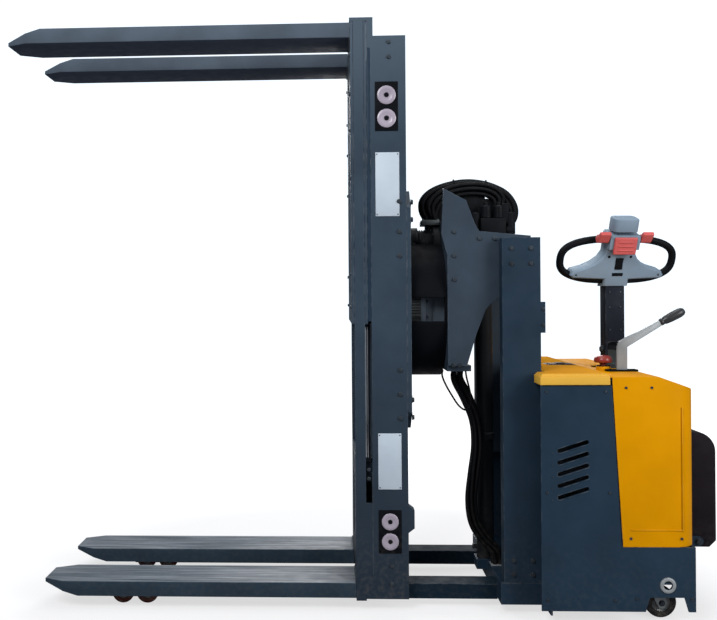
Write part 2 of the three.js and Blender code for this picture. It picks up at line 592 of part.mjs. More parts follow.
function addMast() {
  for (const [name, side] of sides) {
    const web = block([mast.frontX, mastBackX], across(side, mast.outerY - mast.web, mast.outerY),
      [mast.footZ + fit, mast.topZ]);
    const flanges = [mast.frontX, mastBackX - mast.flange].map((x) => block([x, x + mast.flange],
      across(side, mast.outerY - mast.flangeWidth, mast.outerY), [mast.footZ + fit, mast.topZ]));
    const lug = block([mastBackX - mast.flange / 2, mastBackX + mast.lugReach],
      across(side, mast.outerY - mast.web, mast.outerY),
      [mast.lugBottomZ, mast.lugBottomZ + mast.lugHeight]);
    add(`mast_channel_${name}`, join(web, ...flanges, lug), finishes.darkSteel);
  }
  const tieY = mast.outerY - mast.flangeWidth - fit;
  const tie = block([mastBackX - mast.flange, mastBackX], [-tieY, tieY],
    [mast.topZ - mast.tieHeight, mast.topZ]);
  add('mast_top_tie', tie, finishes.darkSteel);

  const barrelBottom = mast.footZ + fit;
  const bore = ram.rodRadius + fit * 3;
  const collarTop = ram.collarZ + ram.collarHeight;
  const glandZ = ram.barrelTopZ - ram.glandHeight;
  add('lift_cylinder', turned([
    [0, barrelBottom], [ram.barrelRadius, barrelBottom], [ram.barrelRadius, ram.collarZ],
    [ram.glandRadius, ram.collarZ], [ram.glandRadius, collarTop], [ram.barrelRadius, collarTop],
    [ram.barrelRadius, glandZ], [ram.glandRadius, glandZ], [ram.glandRadius, ram.barrelTopZ],
    [bore, ram.barrelTopZ], [bore, ram.boreFloorZ], [0, ram.boreFloorZ],
  ], 'z', [ram.x, 0, 0], 16), finishes.castIron);
  const headTop = beam.shelfZ - fit;
  const rodBottom = ram.boreFloorZ + running * 4;
  add('lift_ram', turned([
    [0, rodBottom], [ram.rodRadius, rodBottom], [ram.rodRadius, headTop - ram.headHeight],
    [ram.headRadius, headTop - ram.headHeight], [ram.headRadius, headTop], [0, headTop],
  ], 'z', [ram.x, 0, 0], 16), finishes.chrome);
}

function addLowerForks() {
  const y = barInnerY - fit;
  const frontX = 0;
  const plate = block([frontX, bar.depth], [-y, y], [lowerCarriage.bottomZ, lowerCarriage.topZ]);
  const window = block([frontX - overrun, bar.depth + overrun],
    [-lowerCarriage.windowWidth / 2, lowerCarriage.windowWidth / 2],
    [lowerCarriage.windowZ, lowerCarriage.windowTopZ]);
  add('lower_fork_carriage', cut(plate, window), finishes.frameSteel);
  for (const [name, side] of sides) {
    const body = fork(side, forkSize.lowerLength, -fit, false);
    add(`lower_fork_${name}`, body, finishes.frameSteel);
    const rodZ = lowerCarriage.topZ + fit;
    const chromeRod = rod('z', [clampSize.x, side * clampSize.y, rodZ], clampSize.rodRadius,
      clampSize.rodTopZ - rodZ, 16);
    add(`clamp_rod_${name}`, chromeRod, finishes.chrome);
  }
}

// The upper carriage grips both guide bars from the inside, with lips front and back.
function addUpperForks() {
  const { plate, gap, web, lip, bottomZ, topZ } = upperCarriage;
  const z = [bottomZ, topZ];
  const frontX = -gap - plate;
  const lipX = bar.depth + gap;
  const webOuter = barInnerY - running;
  const webInner = webOuter - web;
  const face = block([frontX, -gap], [-forkOuterY, forkOuterY], z);
  const window = block([frontX - overrun, overrun],
    [-upperCarriage.windowWidth / 2, upperCarriage.windowWidth / 2],
    [upperCarriage.windowZ, upperCarriage.windowTopZ]);
  const cheeks = sides.map(([, side]) => join(
    block([frontX, lipX + lip], across(side, webInner, webOuter), z),
    block([lipX, lipX + lip], across(side, webInner, forkOuterY), z),
    block([frontX, clampSize.x + clampSize.barrelRadius],
      across(side, clampSize.y - clampSize.barrelRadius, webInner + web / 2),
      [clampSize.barrelTopZ + fit, clampSize.barrelTopZ + fit + clampSize.headHeight]),
  ));
  add('upper_fork_carriage', join(cut(face, window), ...cheeks), finishes.frameSteel);
  for (const [name, side] of sides) {
    const body = fork(side, forkSize.upperLength, frontX - fit, true);
    add(`upper_fork_${name}`, body, finishes.frameSteel);
    const bore = clampSize.rodRadius + fit * 2;
    const glandTop = bottomZ + clampSize.glandHeight;
    add(`clamp_cylinder_${name}`, turned([
      [bore, bottomZ], [clampSize.glandRadius, bottomZ], [clampSize.glandRadius, glandTop],
      [clampSize.barrelRadius, glandTop], [clampSize.barrelRadius, clampSize.barrelTopZ],
      [0, clampSize.barrelTopZ], [0, clampSize.boreTopZ], [bore, clampSize.boreTopZ],
      [bore, bottomZ],
    ], 'z', [clampSize.x, side * clampSize.y, 0], 20), finishes.castIron);
  }
}

// The chassis: bent plates round the battery and the drive unit.
function sidePanel(side) {
  const c = chassis;
  const panel = outline([
    [c.frontX, c.sillZ], [c.archX, c.sillZ], [c.archX + louvre.height, c.archZ],
    [c.archBackX - louvre.height, c.archZ], [c.archBackX, c.sillZ], [c.backX, c.sillZ],
    [c.backX, c.coverZ - fit], [c.seamBottomX, c.coverZ - fit], [c.seamTopX - fit, c.sideTopZ],
    [c.frontX, c.sideTopZ],
  ]);
  const sheet = extrude(panel, 'y', across(side, halfWidth - c.sheet, halfWidth));
  const slots = Array.from({ length: louvre.count }, (_, i) => {
    const slot = new THREE.ExtrudeGeometry(roundedBox(louvre.length, louvre.height, louvre.height * 0.48), {
      depth: overrun * 2 + c.sheet, bevelEnabled: false, curveSegments: 1,
    });
    slot.rotateZ(THREE.MathUtils.degToRad(louvre.slant)).rotateX(Math.PI / 2);
    slot.translate(louvre.x, side * halfWidth + overrun + c.sheet / 2, louvre.topZ - i * louvre.pitch);
    return toSolid(slot);
  });
  const eyeY = side * halfWidth;
  const eye = rod('y', [c.eyeX, Math.min(eyeY, eyeY + side * c.eyeRim), c.eyeZ], c.eyeRing, c.eyeRim, 24);
  const eyeHole = rod('y', [c.eyeX, eyeY - overrun, c.eyeZ], c.eyeRadius, overrun * 2, 16);
  return cut(join(sheet, eye), ...slots, eyeHole);
}

function addChassis() {
  const c = chassis;
  const innerY = halfWidth - c.sheet;
  const wide = [-innerY - c.sheet / 2, innerY + c.sheet / 2];
  const bulkheadBack = c.bulkheadX + c.sheet;
  const panels = sides.map(([, side]) => sidePanel(side));
  const bulkhead = block([c.bulkheadX, bulkheadBack], wide, [c.footBottomZ, c.sideTopZ]);
  const foot = block([c.footFrontX, bulkheadBack], [-mast.outerY, mast.outerY],
    [c.footBottomZ, mast.footZ]);
  const pedestal = block([ram.x - ram.glandRadius, c.footFrontX + c.sheet],
    [-ram.glandRadius, ram.glandRadius], [(c.footBottomZ + mast.footZ) / 2, mast.footZ]);
  const floor = block([c.bulkheadX, c.backX], wide, [c.floorZ, c.floorZ + c.floorPlate]);
  const well = block([c.wellX, c.backX - c.sheet], [-c.wellY, c.wellY],
    [c.floorZ - overrun, c.floorZ + overrun * 2]);
  const rear = block([c.backX - c.sheet, c.backX], wide, [c.archZ, c.coverZ - fit]);
  const wellWall = block([c.wellX - c.sheet, c.wellX], [-innerY - c.sheet / 2, innerY + c.sheet / 2],
    [c.floorZ, c.driveZ + c.drivePlate]);
  const drivePlate = block([c.wellX - c.sheet, c.backX - c.sheet * 3],
    [-c.drivePlateY, c.drivePlateY],
    [c.driveZ, c.driveZ + c.drivePlate]);
  const brackets = sides.map(([, side]) => block([c.wellX, c.backX - c.sheet / 2],
    across(side, c.wellY, c.wellY + c.sheet), [c.floorZ, c.driveZ + c.drivePlate / 2]));
  const hole = rod('z', [drive.x, 0, c.driveZ - overrun], drive.holeRadius, overrun * 3, fineFacets);
  const lugInner = platform.width / 2 + running * 3;
  const pivotX = platform.x + platform.pivotInset;
  const pivotZ = platform.bottomZ + platform.pivotInset;
  const lugs = sides.map(([, side]) => {
    const ear = new THREE.Shape();
    ear.moveTo(c.backX - c.sheet / 2, pivotZ - platform.pivotInset);
    ear.lineTo(pivotX, pivotZ - platform.lugReach + platform.lug / 2);
    ear.absarc(pivotX, pivotZ, platform.lugReach - platform.lug / 2, -Math.PI / 2, Math.PI / 2);
    ear.lineTo(c.backX - c.sheet / 2, pivotZ + platform.pivotInset - fit * 8);
    const plate = extrude(ear, 'y', across(side, lugInner, lugInner + platform.lug), 8);
    const pinLength = platform.lug * 2.5;
    const pinY = side > 0 ? lugInner + platform.lug / 2 - pinLength : -lugInner - platform.lug / 2;
    return join(plate, rod('y', [pivotX, pinY, pivotZ], platform.pinRadius, pinLength, 16));
  });
  const shell = join(...panels, bulkhead, foot, pedestal, cut(floor, well), rear, wellWall,
    cut(drivePlate, hole), ...brackets, ...lugs);
  add('chassis_frame', shell, finishes.darkSteel);
}

function addCovers() {
  const c = chassis;
  const lidPlan = (grow) => outline([
    [c.frontX - grow, -halfWidth - grow], [lid.backX + grow, -halfWidth - grow],
    [lid.backX + grow, halfWidth + grow], [c.frontX - grow, halfWidth + grow],
    [c.frontX - grow, lid.wingY - grow], [c.bulkheadX - grow, lid.wingY - grow],
    [c.bulkheadX - grow, -lid.wingY + grow], [c.frontX - grow, -lid.wingY + grow],
  ]);
  const bottomZ = c.sideTopZ + fit;
  const tray = join(
    extrude(lidPlan(0), 'z', [bottomZ, lid.topZ - lid.edge]),
    extrude(lidPlan(-lid.edge / 2), 'z', [bottomZ, lid.topZ - lid.edge / 3]),
    extrude(lidPlan(-lid.edge), 'z', [bottomZ, lid.topZ]),
  );
  const hollow = extrude(lidPlan(-lid.edge - lid.wall / 2), 'z',
    [bottomZ - overrun, lid.topZ - lid.wall * 2]);
  add('battery_lid', cut(tray, hollow), finishes.yellow);

  const shell = (inset, frontX, skirtZ) => {
    const plan = new THREE.Shape();
    const y = halfWidth - inset;
    const back = c.backX + c.sheet - inset;
    const bow = cover.bow - inset;
    const r = cover.cornerRadius;
    plan.moveTo(frontX, -y).lineTo(back - r, -y);
    plan.bezierCurveTo(back - r / 3, -y, back, -y + r / 3, back + r / 12, -y + r);
    plan.quadraticCurveTo(bow + r / 12, 0, back + r / 12, y - r);
    plan.bezierCurveTo(back, y - r / 3, back - r / 3, y, back - r, y).lineTo(frontX, y);
    const sideView = outline([
      [frontX, cover.topZ - inset], [cover.slopeX, cover.topZ - inset],
      [c.backX, cover.topZ - cover.slopeDrop - inset],
      [cover.bow + overrun, cover.topZ - cover.slopeDrop * 2 - inset],
      [cover.bow + overrun, skirtZ], [frontX + (inset ? 0 : c.seamBottomX - c.seamTopX), skirtZ],
    ]);
    return extrude(plan, 'z', [skirtZ, cover.topZ], 8)
      .intersect(extrude(sideView, 'y', [-halfWidth, halfWidth]));
  };
  const outer = shell(0, c.seamTopX, c.coverZ);
  const inner = shell(cover.wall, c.seamTopX - overrun, c.coverZ - overrun);
  const tillerHole = rod('z', [drive.x, 0, cover.topZ - cover.slopeDrop - overrun],
    cover.tillerHole, cover.slopeDrop + overrun * 2, 28);
  const slot = block([lever.x - cover.slotLength / 2, lever.x + cover.slotLength / 2],
    [lever.y - cover.slotWidth / 2, lever.y + cover.slotWidth / 2],
    [cover.topZ - overrun, cover.topZ + overrun]);
  const collar = rod('z', [eStop.x, eStop.y, cover.topZ - cover.wall - eStop.collar],
    eStop.collarRadius, cover.wall + eStop.collar * 2, 24);
  const bore = rod('z', [eStop.x, eStop.y, cover.topZ - overrun - eStop.collar],
    eStop.stemRadius + fit * 2, overrun * 2 + eStop.collar * 2, 20);
  add('rear_cover', cut(join(cut(outer, inner), collar), tillerHole, slot, bore), finishes.yellow);

  const capZ = cover.topZ + eStop.collar + eStop.gap;
  add('e_stop_button', turned([
    [0, cover.topZ - eStop.collar], [eStop.stemRadius, cover.topZ - eStop.collar],
    [eStop.stemRadius, capZ], [eStop.radius, capZ], [eStop.radius, capZ + eStop.cap * 0.6],
    [eStop.radius * 0.8, capZ + eStop.cap], [0, capZ + eStop.cap],
  ], 'z', [eStop.x, eStop.y, 0], 24), finishes.red);
}

function addPower() {
  const b = battery;
  const topZ = b.bottomZ + b.height;
  const terminals = [0.3, -0.3].map((share) => rod('z',
    [b.x + b.depth / 2, share * b.width, topZ - fit], b.terminal, b.terminal, 12));
  const casing = block([b.x, b.x + b.depth], [-b.width / 2, b.width / 2], [b.bottomZ, topZ]);
  add('battery', join(casing, ...terminals), finishes.batteryCase);

  const p = powerPack;
  const tankTop = p.bottomZ + p.tankHeight;
  const tank = block([p.x - p.tankDepth / 2, p.x + p.tankDepth / 2],
    [p.y - p.tankWidth / 2, p.y + p.tankWidth / 2], [p.bottomZ, tankTop]);
  const pump = rod('z', [p.x, p.y, tankTop - fit], p.pumpRadius, p.pumpHeight, 24);
  const valveX = lever.x - p.valve / 2;
  const valve = block([valveX, valveX + p.valve], [lever.y - p.valve, lever.y + lever.thickness],
    [tankTop - p.valve / 2, p.valveTopZ]);
  const link = block([p.x, lever.x], [lever.y - p.valve, lever.y - lever.thickness],
    [tankTop - p.valve / 2, tankTop + p.valve]);
  const earTop = lever.pivotZ + lever.hub;
  const ears = [1, -1].map((way) => block([lever.x - lever.hub, lever.x + lever.hub],
    [lever.y + way * (lever.thickness / 2 + running), lever.y + way * lever.thickness * 1.2],
    [p.valveTopZ - fit, earTop - lever.pin / 2]));
  const pin = rod('y', [lever.x, lever.y - lever.thickness, lever.pivotZ], lever.pin,
    lever.thickness * 2, 12);
  add('hydraulic_power_pack', join(tank, pump, valve, link, ...ears, pin), finishes.castIron);

  const half = lever.baseWidth / 2;
  const kneeZ = lever.kneeZ;
  const arm = outline([
    [lever.x - lever.hub, lever.pivotZ], [lever.x + lever.hub, lever.pivotZ],
    [lever.x + half, kneeZ], [lever.x + half + lever.reach, kneeZ + lever.rise],
    [lever.x + half + lever.reach - lever.tipWidth * 0.7, kneeZ + lever.rise + lever.tipWidth],
    [lever.x - half * 0.4, kneeZ + half],
    [lever.x - half * 0.8, kneeZ],
  ]);
  const blade = join(
    extrude(arm, 'y', [lever.y - lever.thickness / 2, lever.y + lever.thickness / 2]),
    rod('y', [lever.x, lever.y - lever.thickness / 2, lever.pivotZ], lever.hub, lever.thickness, 20),
  );
  const bore = rod('y', [lever.x, lever.y - lever.thickness, lever.pivotZ],
    lever.pin + fit * 2, lever.thickness * 2, 16);
  const angle = THREE.MathUtils.degToRad(lever.tilt);
  const grip = new THREE.CapsuleGeometry(lever.gripRadius, lever.grip - lever.gripRadius * 2, 4, 14);
  grip.rotateZ(-Math.PI / 2).rotateY(-angle);
  grip.translate(lever.x + half + lever.reach + lever.grip * 0.32, lever.y,
    kneeZ + lever.rise + lever.grip * 0.28);
  add('hand_lever', join(cut(blade, bore), toSolid(grip)), finishes.zinc);
}

// Everything that steers is built facing -y and turned to its rest angle as a group.
function addDriveUnit() {
  const steered = new THREE.Group();
  steered.position.x = drive.x;
  steered.rotation.z = tillerTurn;
  machine.add(steered);
  const d = drive;
  const flangeZ = driveTopZ - d.flange;
  const legX = [d.legInner, d.legInner + d.legWidth];
  const collar = rod('z', [0, 0, d.columnBottomZ], d.columnRadius, flangeZ - d.columnBottomZ + fit,
    fineFacets);
  const flange = rod('z', [0, 0, flangeZ], d.flangeRadius, d.flange, fineFacets);
  const leg = block(legX, [-d.legDepth / 2, d.legDepth / 2], [d.wheelRadius, d.columnBottomZ + fit]);
  const hub = rod('x', [d.legInner, 0, d.wheelRadius], d.legDepth / 2, d.legWidth, 24);
  const axle = rod('x', [-d.wheelWidth / 2, 0, d.wheelRadius], d.axleRadius,
    d.legInner + d.wheelWidth / 2 + fit, 16);
  const cheeks = [1, -1].map((way) => block([way * d.cheekInner, way * (d.cheekInner + d.cheek)],
    [-d.cheekDepth / 2, d.cheekDepth / 2], [driveTopZ - fit, d.bridgeZ + fit]));
  const bridge = block([-d.cheekInner - d.cheek, d.cheekInner + d.cheek],
    [-d.cheekDepth / 2, d.cheekDepth / 2], [d.bridgeZ, d.bridgeZ + d.bridge]);
  const post = rod('z', [0, 0, d.bridgeZ + d.bridge / 2], d.postRadius, d.postTopZ - d.bridgeZ, 28);
  const tongueHalf = tiller.tongueWidth / 2;
  const tongue = new THREE.Shape();
  tongue.moveTo(-tiller.tongueRadius, d.postTopZ - d.bridge);
  tongue.lineTo(tiller.tongueRadius, d.postTopZ - d.bridge);
  tongue.absarc(0, tiller.pivotZ, tiller.tongueRadius, 0, Math.PI);
  const tongueSolid = extrude(tongue, 'x', [-tongueHalf, tongueHalf], 12);
  const pinHalf = tiller.armWidth / 2;
  const pin = rod('x', [-pinHalf, 0, tiller.pivotZ], tiller.pinRadius, pinHalf * 2, 16);
  add('drive_unit', join(collar, flange, leg, hub, axle, ...cheeks, bridge, post, tongueSolid, pin),
    finishes.castIron, steered);
  const motorZ = driveTopZ + fit;
  const motorTop = motorZ + d.motorHeight;
  const motor = turned([
    [0, motorZ], [d.motorRadius, motorZ], [d.motorRadius, motorTop - d.motorCap],
    [d.motorRadius * 0.8, motorTop - d.motorCap * 0.6], [d.motorRadius * 0.8, motorTop], [0, motorTop],
  ], 'z', [0, 0, 0], 28);
  add('traction_motor', motor, finishes.black, steered);
  const tyre = wheel(d.axleRadius, d.wheelRadius, d.wheelWidth, [0, 0, d.wheelRadius], 'x',
    fineFacets);
  add('drive_wheel', tyre, finishes.tyre, steered);

  const arm = new THREE.Group();
  arm.position.z = tiller.pivotZ;
  steered.add(arm);
  addTillerArm(arm);
  const headGroup = new THREE.Group();
  headGroup.position.z = tiller.armLength + fit;
  headGroup.rotation.x = headLean;
  arm.add(headGroup);
  addTillerHead(headGroup);
}

function addTillerArm(group) {
  const t = tiller;
  const half = t.armWidth / 2;
  const channel = cut(
    block([-half, half], [-t.armDepth / 2, t.armDepth / 2], [-t.tailLength, t.armLength]),
    block([t.wall - half, half - t.wall], [t.wall - t.armDepth / 2, t.armDepth / 2 + overrun],
      [-t.tailLength - overrun, t.armLength - t.wall]),
    block([t.wall - half, half - t.wall], [-t.armDepth / 2 - overrun, t.armDepth / 2 + overrun],
      [-t.tailLength - overrun, t.wallStart]),
    rod('x', [-half - overrun, 0, 0], t.pinRadius + fit * 2, t.armWidth + overrun * 2, 20),
  );
  add('tiller_arm', channel, finishes.black, group);
}

// The head leans from the arm's top, so its neck is cut level to sit on the arm.
function addTillerHead(group) {
  const loopCurve = new THREE.Curve();
  const loopPower = 2 / ring.squareness;
  const spread = (value) => Math.sign(value) * Math.abs(value) ** loopPower;
  const middleZ = ring.bottomZ + ring.height / 2;
  loopCurve.getPoint = (share) => {
    const turn = share * Math.PI * 2;
    return new THREE.Vector3((ring.width / 2 - ring.radius) * spread(Math.cos(turn)), 0,
      middleZ + (ring.height / 2 - ring.radius) * spread(Math.sin(turn)));
  };
  const loop = (radius, count) => toSolid(
    new THREE.TubeGeometry(loopCurve, ring.steps, radius, count, true));
  add('handle_ring', loop(ring.radius, 8), finishes.black, group);

  const h = head;
  const [neck, wing, crown] = [h.neckWidth / 2, h.wingWidth / 2, h.crownWidth / 2];
  const wingTop = h.neckTopZ + h.wingTipHeight;
  const drop = -h.depth;
  const profile = new THREE.Shape();
  profile.moveTo(-neck, drop).lineTo(neck, drop).lineTo(neck, h.neckTopZ - h.bevel);
  profile.lineTo(wing - h.bevel * 2, h.neckTopZ).lineTo(wing, h.neckTopZ + h.bevel * 2);
  profile.lineTo(wing - h.bevel * 2, wingTop);
  profile.quadraticCurveTo(crown * 1.3, wingTop + h.bevel * 4, crown, h.shoulderZ);
  profile.lineTo(crown, h.crownTopZ - h.bevel).lineTo(crown - h.bevel, h.crownTopZ);
  profile.lineTo(h.bevel - crown, h.crownTopZ).lineTo(-crown, h.crownTopZ - h.bevel);
  profile.lineTo(-crown, h.shoulderZ);
  profile.quadraticCurveTo(-crown * 1.3, wingTop + h.bevel * 4, h.bevel * 2 - wing, wingTop);
  profile.lineTo(-wing, h.neckTopZ + h.bevel * 2).lineTo(h.bevel * 2 - wing, h.neckTopZ);
  profile.lineTo(-neck, h.neckTopZ - h.bevel);
  const body = new THREE.ExtrudeGeometry(profile, {
    depth: h.depth - h.bevel * 2, bevelThickness: h.bevel, bevelSize: h.bevel, bevelOffset: -h.bevel,
    bevelSegments: 1, curveSegments: 4,
  }).rotateX(Math.PI / 2).translate(0, h.depth / 2 - h.bevel, 0);
  const crownFront = block([-crown, crown], [-h.crownReach, 0],
    [h.crownBottomZ, h.crownTopZ - h.bevel]);
  // The level cut through the neck, turned into the leaning head's own frame
  const below = toSolid(new THREE.BoxGeometry(h.wingWidth, h.depth * 4, h.depth * 4)
    .translate(0, 0, -h.depth * 2).rotateX(-headLean));
  const shaftBore = rod('x', [-wing, paddle.shaftY, paddle.shaftZ], paddle.shaftRadius + fit * 2,
    wing * 2, 14);
  const stemBore = rod('z', [0, endButton.y, h.crownTopZ - endButton.stem - overrun],
    endButton.stemRadius + fit * 2, endButton.stem + overrun * 2, 14);
  const rockerY = -h.depth / 2;
  const pocket = block([-rocker.width / 2 - running, rocker.width / 2 + running],
    [rockerY - overrun, rockerY + rocker.depth + running * 2],
    [rocker.z - rocker.height / 2 - running * 2, rocker.z + rocker.height / 2 + running * 2]);
  const rockerPin = rod('x', [-rocker.width, rockerY + rocker.depth / 2, rocker.z],
    rocker.pinRadius, rocker.width * 2, 10);
  const whole = join(toSolid(body), crownFront);
  const solid = join(cut(whole, below, loop(ring.radius + fit * 2, 8), shaftBore, stemBore, pocket),
    rockerPin);
  add('tiller_head', solid, finishes.greyPlastic, group);

  const p = paddle;
  const lobe = new THREE.Shape();
  lobe.moveTo(p.shaftY + p.hub, p.shaftZ);
  lobe.absarc(p.shaftY, p.shaftZ, p.hub, 0, Math.PI * 0.55);
  lobe.lineTo(p.shaftY - p.wing * 0.6, p.shaftZ + p.wing);
  lobe.lineTo(p.shaftY - p.wing * 0.6 - p.tip, p.shaftZ + p.wing - p.tip);
  lobe.absarc(p.shaftY, p.shaftZ, p.hub, Math.PI * 1.05, Math.PI * 2);
  const lobes = [1, -1].map((way) => extrude(lobe, 'x', across(way, p.inner, p.inner + p.width), 6));
  const reach = p.inner + running;
  const shaft = rod('x', [-reach, p.shaftY, p.shaftZ], p.shaftRadius, reach * 2, 14);
  add('throttle_paddles', join(shaft, ...lobes), finishes.red, group);

  const e = endButton;
  const capZ = h.crownTopZ + e.gap;
  const cap = new THREE.ExtrudeGeometry(roundedBox(e.width, e.depth, e.depth * 0.3), {
    depth: e.height - h.bevel, bevelThickness: h.bevel, bevelSize: h.bevel, bevelOffset: -h.bevel,
    bevelSegments: 2, curveSegments: 3,
  }).translate(0, e.y, capZ);
  const stem = rod('z', [0, e.y, h.crownTopZ - e.stem], e.stemRadius, e.stem + e.gap + h.bevel, 14);
  add('end_button', join(cut(toSolid(cap), block([-e.width, e.width], [-e.width, e.width],
    [capZ - overrun, capZ])), stem), finishes.greyPlastic, group);

  const r = rocker;
  const rockShape = outline([
    [rockerY + r.depth, r.z - r.pinRadius], [rockerY + r.depth, r.z + r.pinRadius],
    [rockerY, r.z + r.height / 2], [rockerY - r.proud, r.z + r.height / 2],
    [rockerY - r.proud / 2, r.z], [rockerY - r.proud, r.z - r.height / 2],
    [rockerY, r.z - r.height / 2],
  ]);
  const rock = cut(extrude(rockShape, 'x', [-r.width / 2, r.width / 2]),
    rod('x', [-r.width, rockerY + r.depth / 2, r.z], r.pinRadius + fit, r.width * 2, 12));
  add('lift_rocker', rock, finishes.black, group);
}

function addPlatform() {
  const p = platform;
  const backX = p.x + p.thickness;
  const topZ = p.bottomZ + p.height;
  const profile = new THREE.Shape();
  profile.moveTo(p.x, p.bottomZ).lineTo(backX - p.pivotInset, p.bottomZ);
  profile.lineTo(backX, p.bottomZ + p.pivotInset).lineTo(backX, topZ - p.topRound);
  profile.absarc(backX - p.topRound, topZ - p.topRound, p.topRound, 0, Math.PI / 2);
  profile.lineTo(p.x, topZ);
  const slab = extrude(profile, 'y', [-p.width / 2, p.width / 2], 8);
  const holes = sides.map(([, side]) => rod('y', [
    p.x + p.pivotInset, side > 0 ? p.width / 2 - p.lug * 3 : -p.width / 2 - overrun,
    p.bottomZ + p.pivotInset,
  ], p.pinRadius + fit * 2, p.lug * 3 + overrun, 20));
  add('stand_on_platform', cut(slab, ...holes), finishes.black);
}

// The bundle leaves the slewing motor, arches over the plates and drops behind them;
// the second one hangs from the carriage down to the foot.
function addHoses() {
  const portTop = pinionZ + slewMotor.radius * slewMotor.portShare + slewMotor.portHeight + fit;
  const arch = [
    [slewMotor.portX, 0, portTop], [slewMotor.portX, 0, 1328], [264, 0, 1356], [266, 0, 1386],
    [292, 0, 1412], [336, 0, 1431], [396, 0, 1443], [454, 0, 1441], [508, 0, 1426],
    [552, 0, 1400], [576, 0, 1358], [568, 0, 1318], [528, 0, 1302], [486, 0, 1284],
    [486, 0, beam.shelfZ + beam.plate + fit],
  ];
  add('hose_arch', tube(arch, hose.archRadius, hose.steps, hose.sides), finishes.black);
  const hanging = [
    [364, hose.y, beam.bottomZ - fit], [364, hose.y, 750], [394, hose.y, 690],
    [424, hose.y, 610], [430, hose.y, 520], [418, hose.y, 420], [410, hose.y, 330],
    [420, hose.y, 250], [454, hose.y, 190], [490, hose.y, 150], [498, hose.y, 125],
    [498, hose.y, mast.footZ + fit],
  ];
  add('hose_hanging', tube(hanging, hose.hangingRadius, hose.steps, hose.sides), finishes.black);
}

addRunningGear();
addTurningFrame();
addSlewingUnit();
addCarriage();
addMast();
addLowerForks();
addUpperForks();
addChassis();
addCovers();
addPower();
addDriveUnit();
addPlatform();
addHoses();

export default machine;
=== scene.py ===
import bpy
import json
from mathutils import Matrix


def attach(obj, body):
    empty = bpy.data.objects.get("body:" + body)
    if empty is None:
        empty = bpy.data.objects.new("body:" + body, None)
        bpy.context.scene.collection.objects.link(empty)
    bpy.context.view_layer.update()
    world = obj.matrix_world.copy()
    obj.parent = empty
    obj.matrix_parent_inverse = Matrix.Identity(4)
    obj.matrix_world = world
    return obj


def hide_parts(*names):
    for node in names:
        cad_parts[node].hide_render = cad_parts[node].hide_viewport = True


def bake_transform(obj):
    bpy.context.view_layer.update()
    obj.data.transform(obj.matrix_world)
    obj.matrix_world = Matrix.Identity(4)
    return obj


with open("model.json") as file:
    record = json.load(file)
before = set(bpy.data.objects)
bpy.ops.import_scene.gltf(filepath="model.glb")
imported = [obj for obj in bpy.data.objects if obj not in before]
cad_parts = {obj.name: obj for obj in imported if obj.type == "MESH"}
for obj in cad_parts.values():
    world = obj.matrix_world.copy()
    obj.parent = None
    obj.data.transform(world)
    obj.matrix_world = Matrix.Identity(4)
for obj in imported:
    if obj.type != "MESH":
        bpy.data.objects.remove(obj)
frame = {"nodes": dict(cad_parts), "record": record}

"""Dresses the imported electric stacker: materials, fine shapes, lights and the camera.

Lengths in this script are millimetres in the CAD source's own axes, whose x = 0 is
the front face of the turning frame's guide bars. Shape moves them into the row frame.
"""

import json
import logging
import math
from dataclasses import dataclass
from enum import Enum
from itertools import product
from typing import Callable, Iterable, Sequence

import bmesh
import bpy
from mathutils import Matrix, Vector

logging.basicConfig(level=logging.INFO, format="%(message)s")
log = logging.getLogger("stacker")

Point = tuple[float, float, float]
Span = tuple[float, float]
Block = tuple[Span, Span, Span]
Profile = Sequence[Span]
Color = tuple[int, int, int]
Ring = tuple[int, float, float]
Beads = Sequence[tuple[Point, Point, float]]
Head = Callable[["Shape", Point, str, float], "Shape"]
Socket = bpy.types.NodeSocket

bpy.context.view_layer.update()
MM = 0.001
SHIFT_X = -9.0
SIDES = (("left", 1), ("right", -1))
FACING_Y = ((1, "y"), (-1, "-y"))
ROOT_X = Matrix.Translation((SHIFT_X * MM, 0, 0))


@dataclass(frozen=True)
class SteeredAxes:
    """Places of the steered pieces' own axes at rest, in the row frame.

    Attributes:
        drive_x: the steering axis.
        drive_turn: the drive's turn at rest, in degrees.
        pivot_z: height of the tiller's pivot.
        head_z: from the pivot to the head, along the arm.
        head_lean: the head's lean, in degrees.
    """

    drive_x: float = 932.0
    drive_turn: float = 8.0
    pivot_z: float = 850.0
    head_z: float = 226.3
    head_lean: float = 20.0

    @property
    def drive(self) -> Matrix:
        """The drive's axes, on the floor."""
        return ROOT_X @ Matrix.Translation((self.drive_x * MM, 0, 0)) @ Matrix.Rotation(
            math.radians(self.drive_turn), 4, "Z")

    @property
    def arm(self) -> Matrix:
        """The tiller arm's axes, at its pivot."""
        return self.drive @ Matrix.Translation((0, 0, self.pivot_z * MM))

    @property
    def head(self) -> Matrix:
        """The tiller head's axes."""
        return self.arm @ Matrix.Translation((0, 0, self.head_z * MM)) @ Matrix.Rotation(
            math.radians(self.head_lean), 4, "X")


AXES = SteeredAxes()


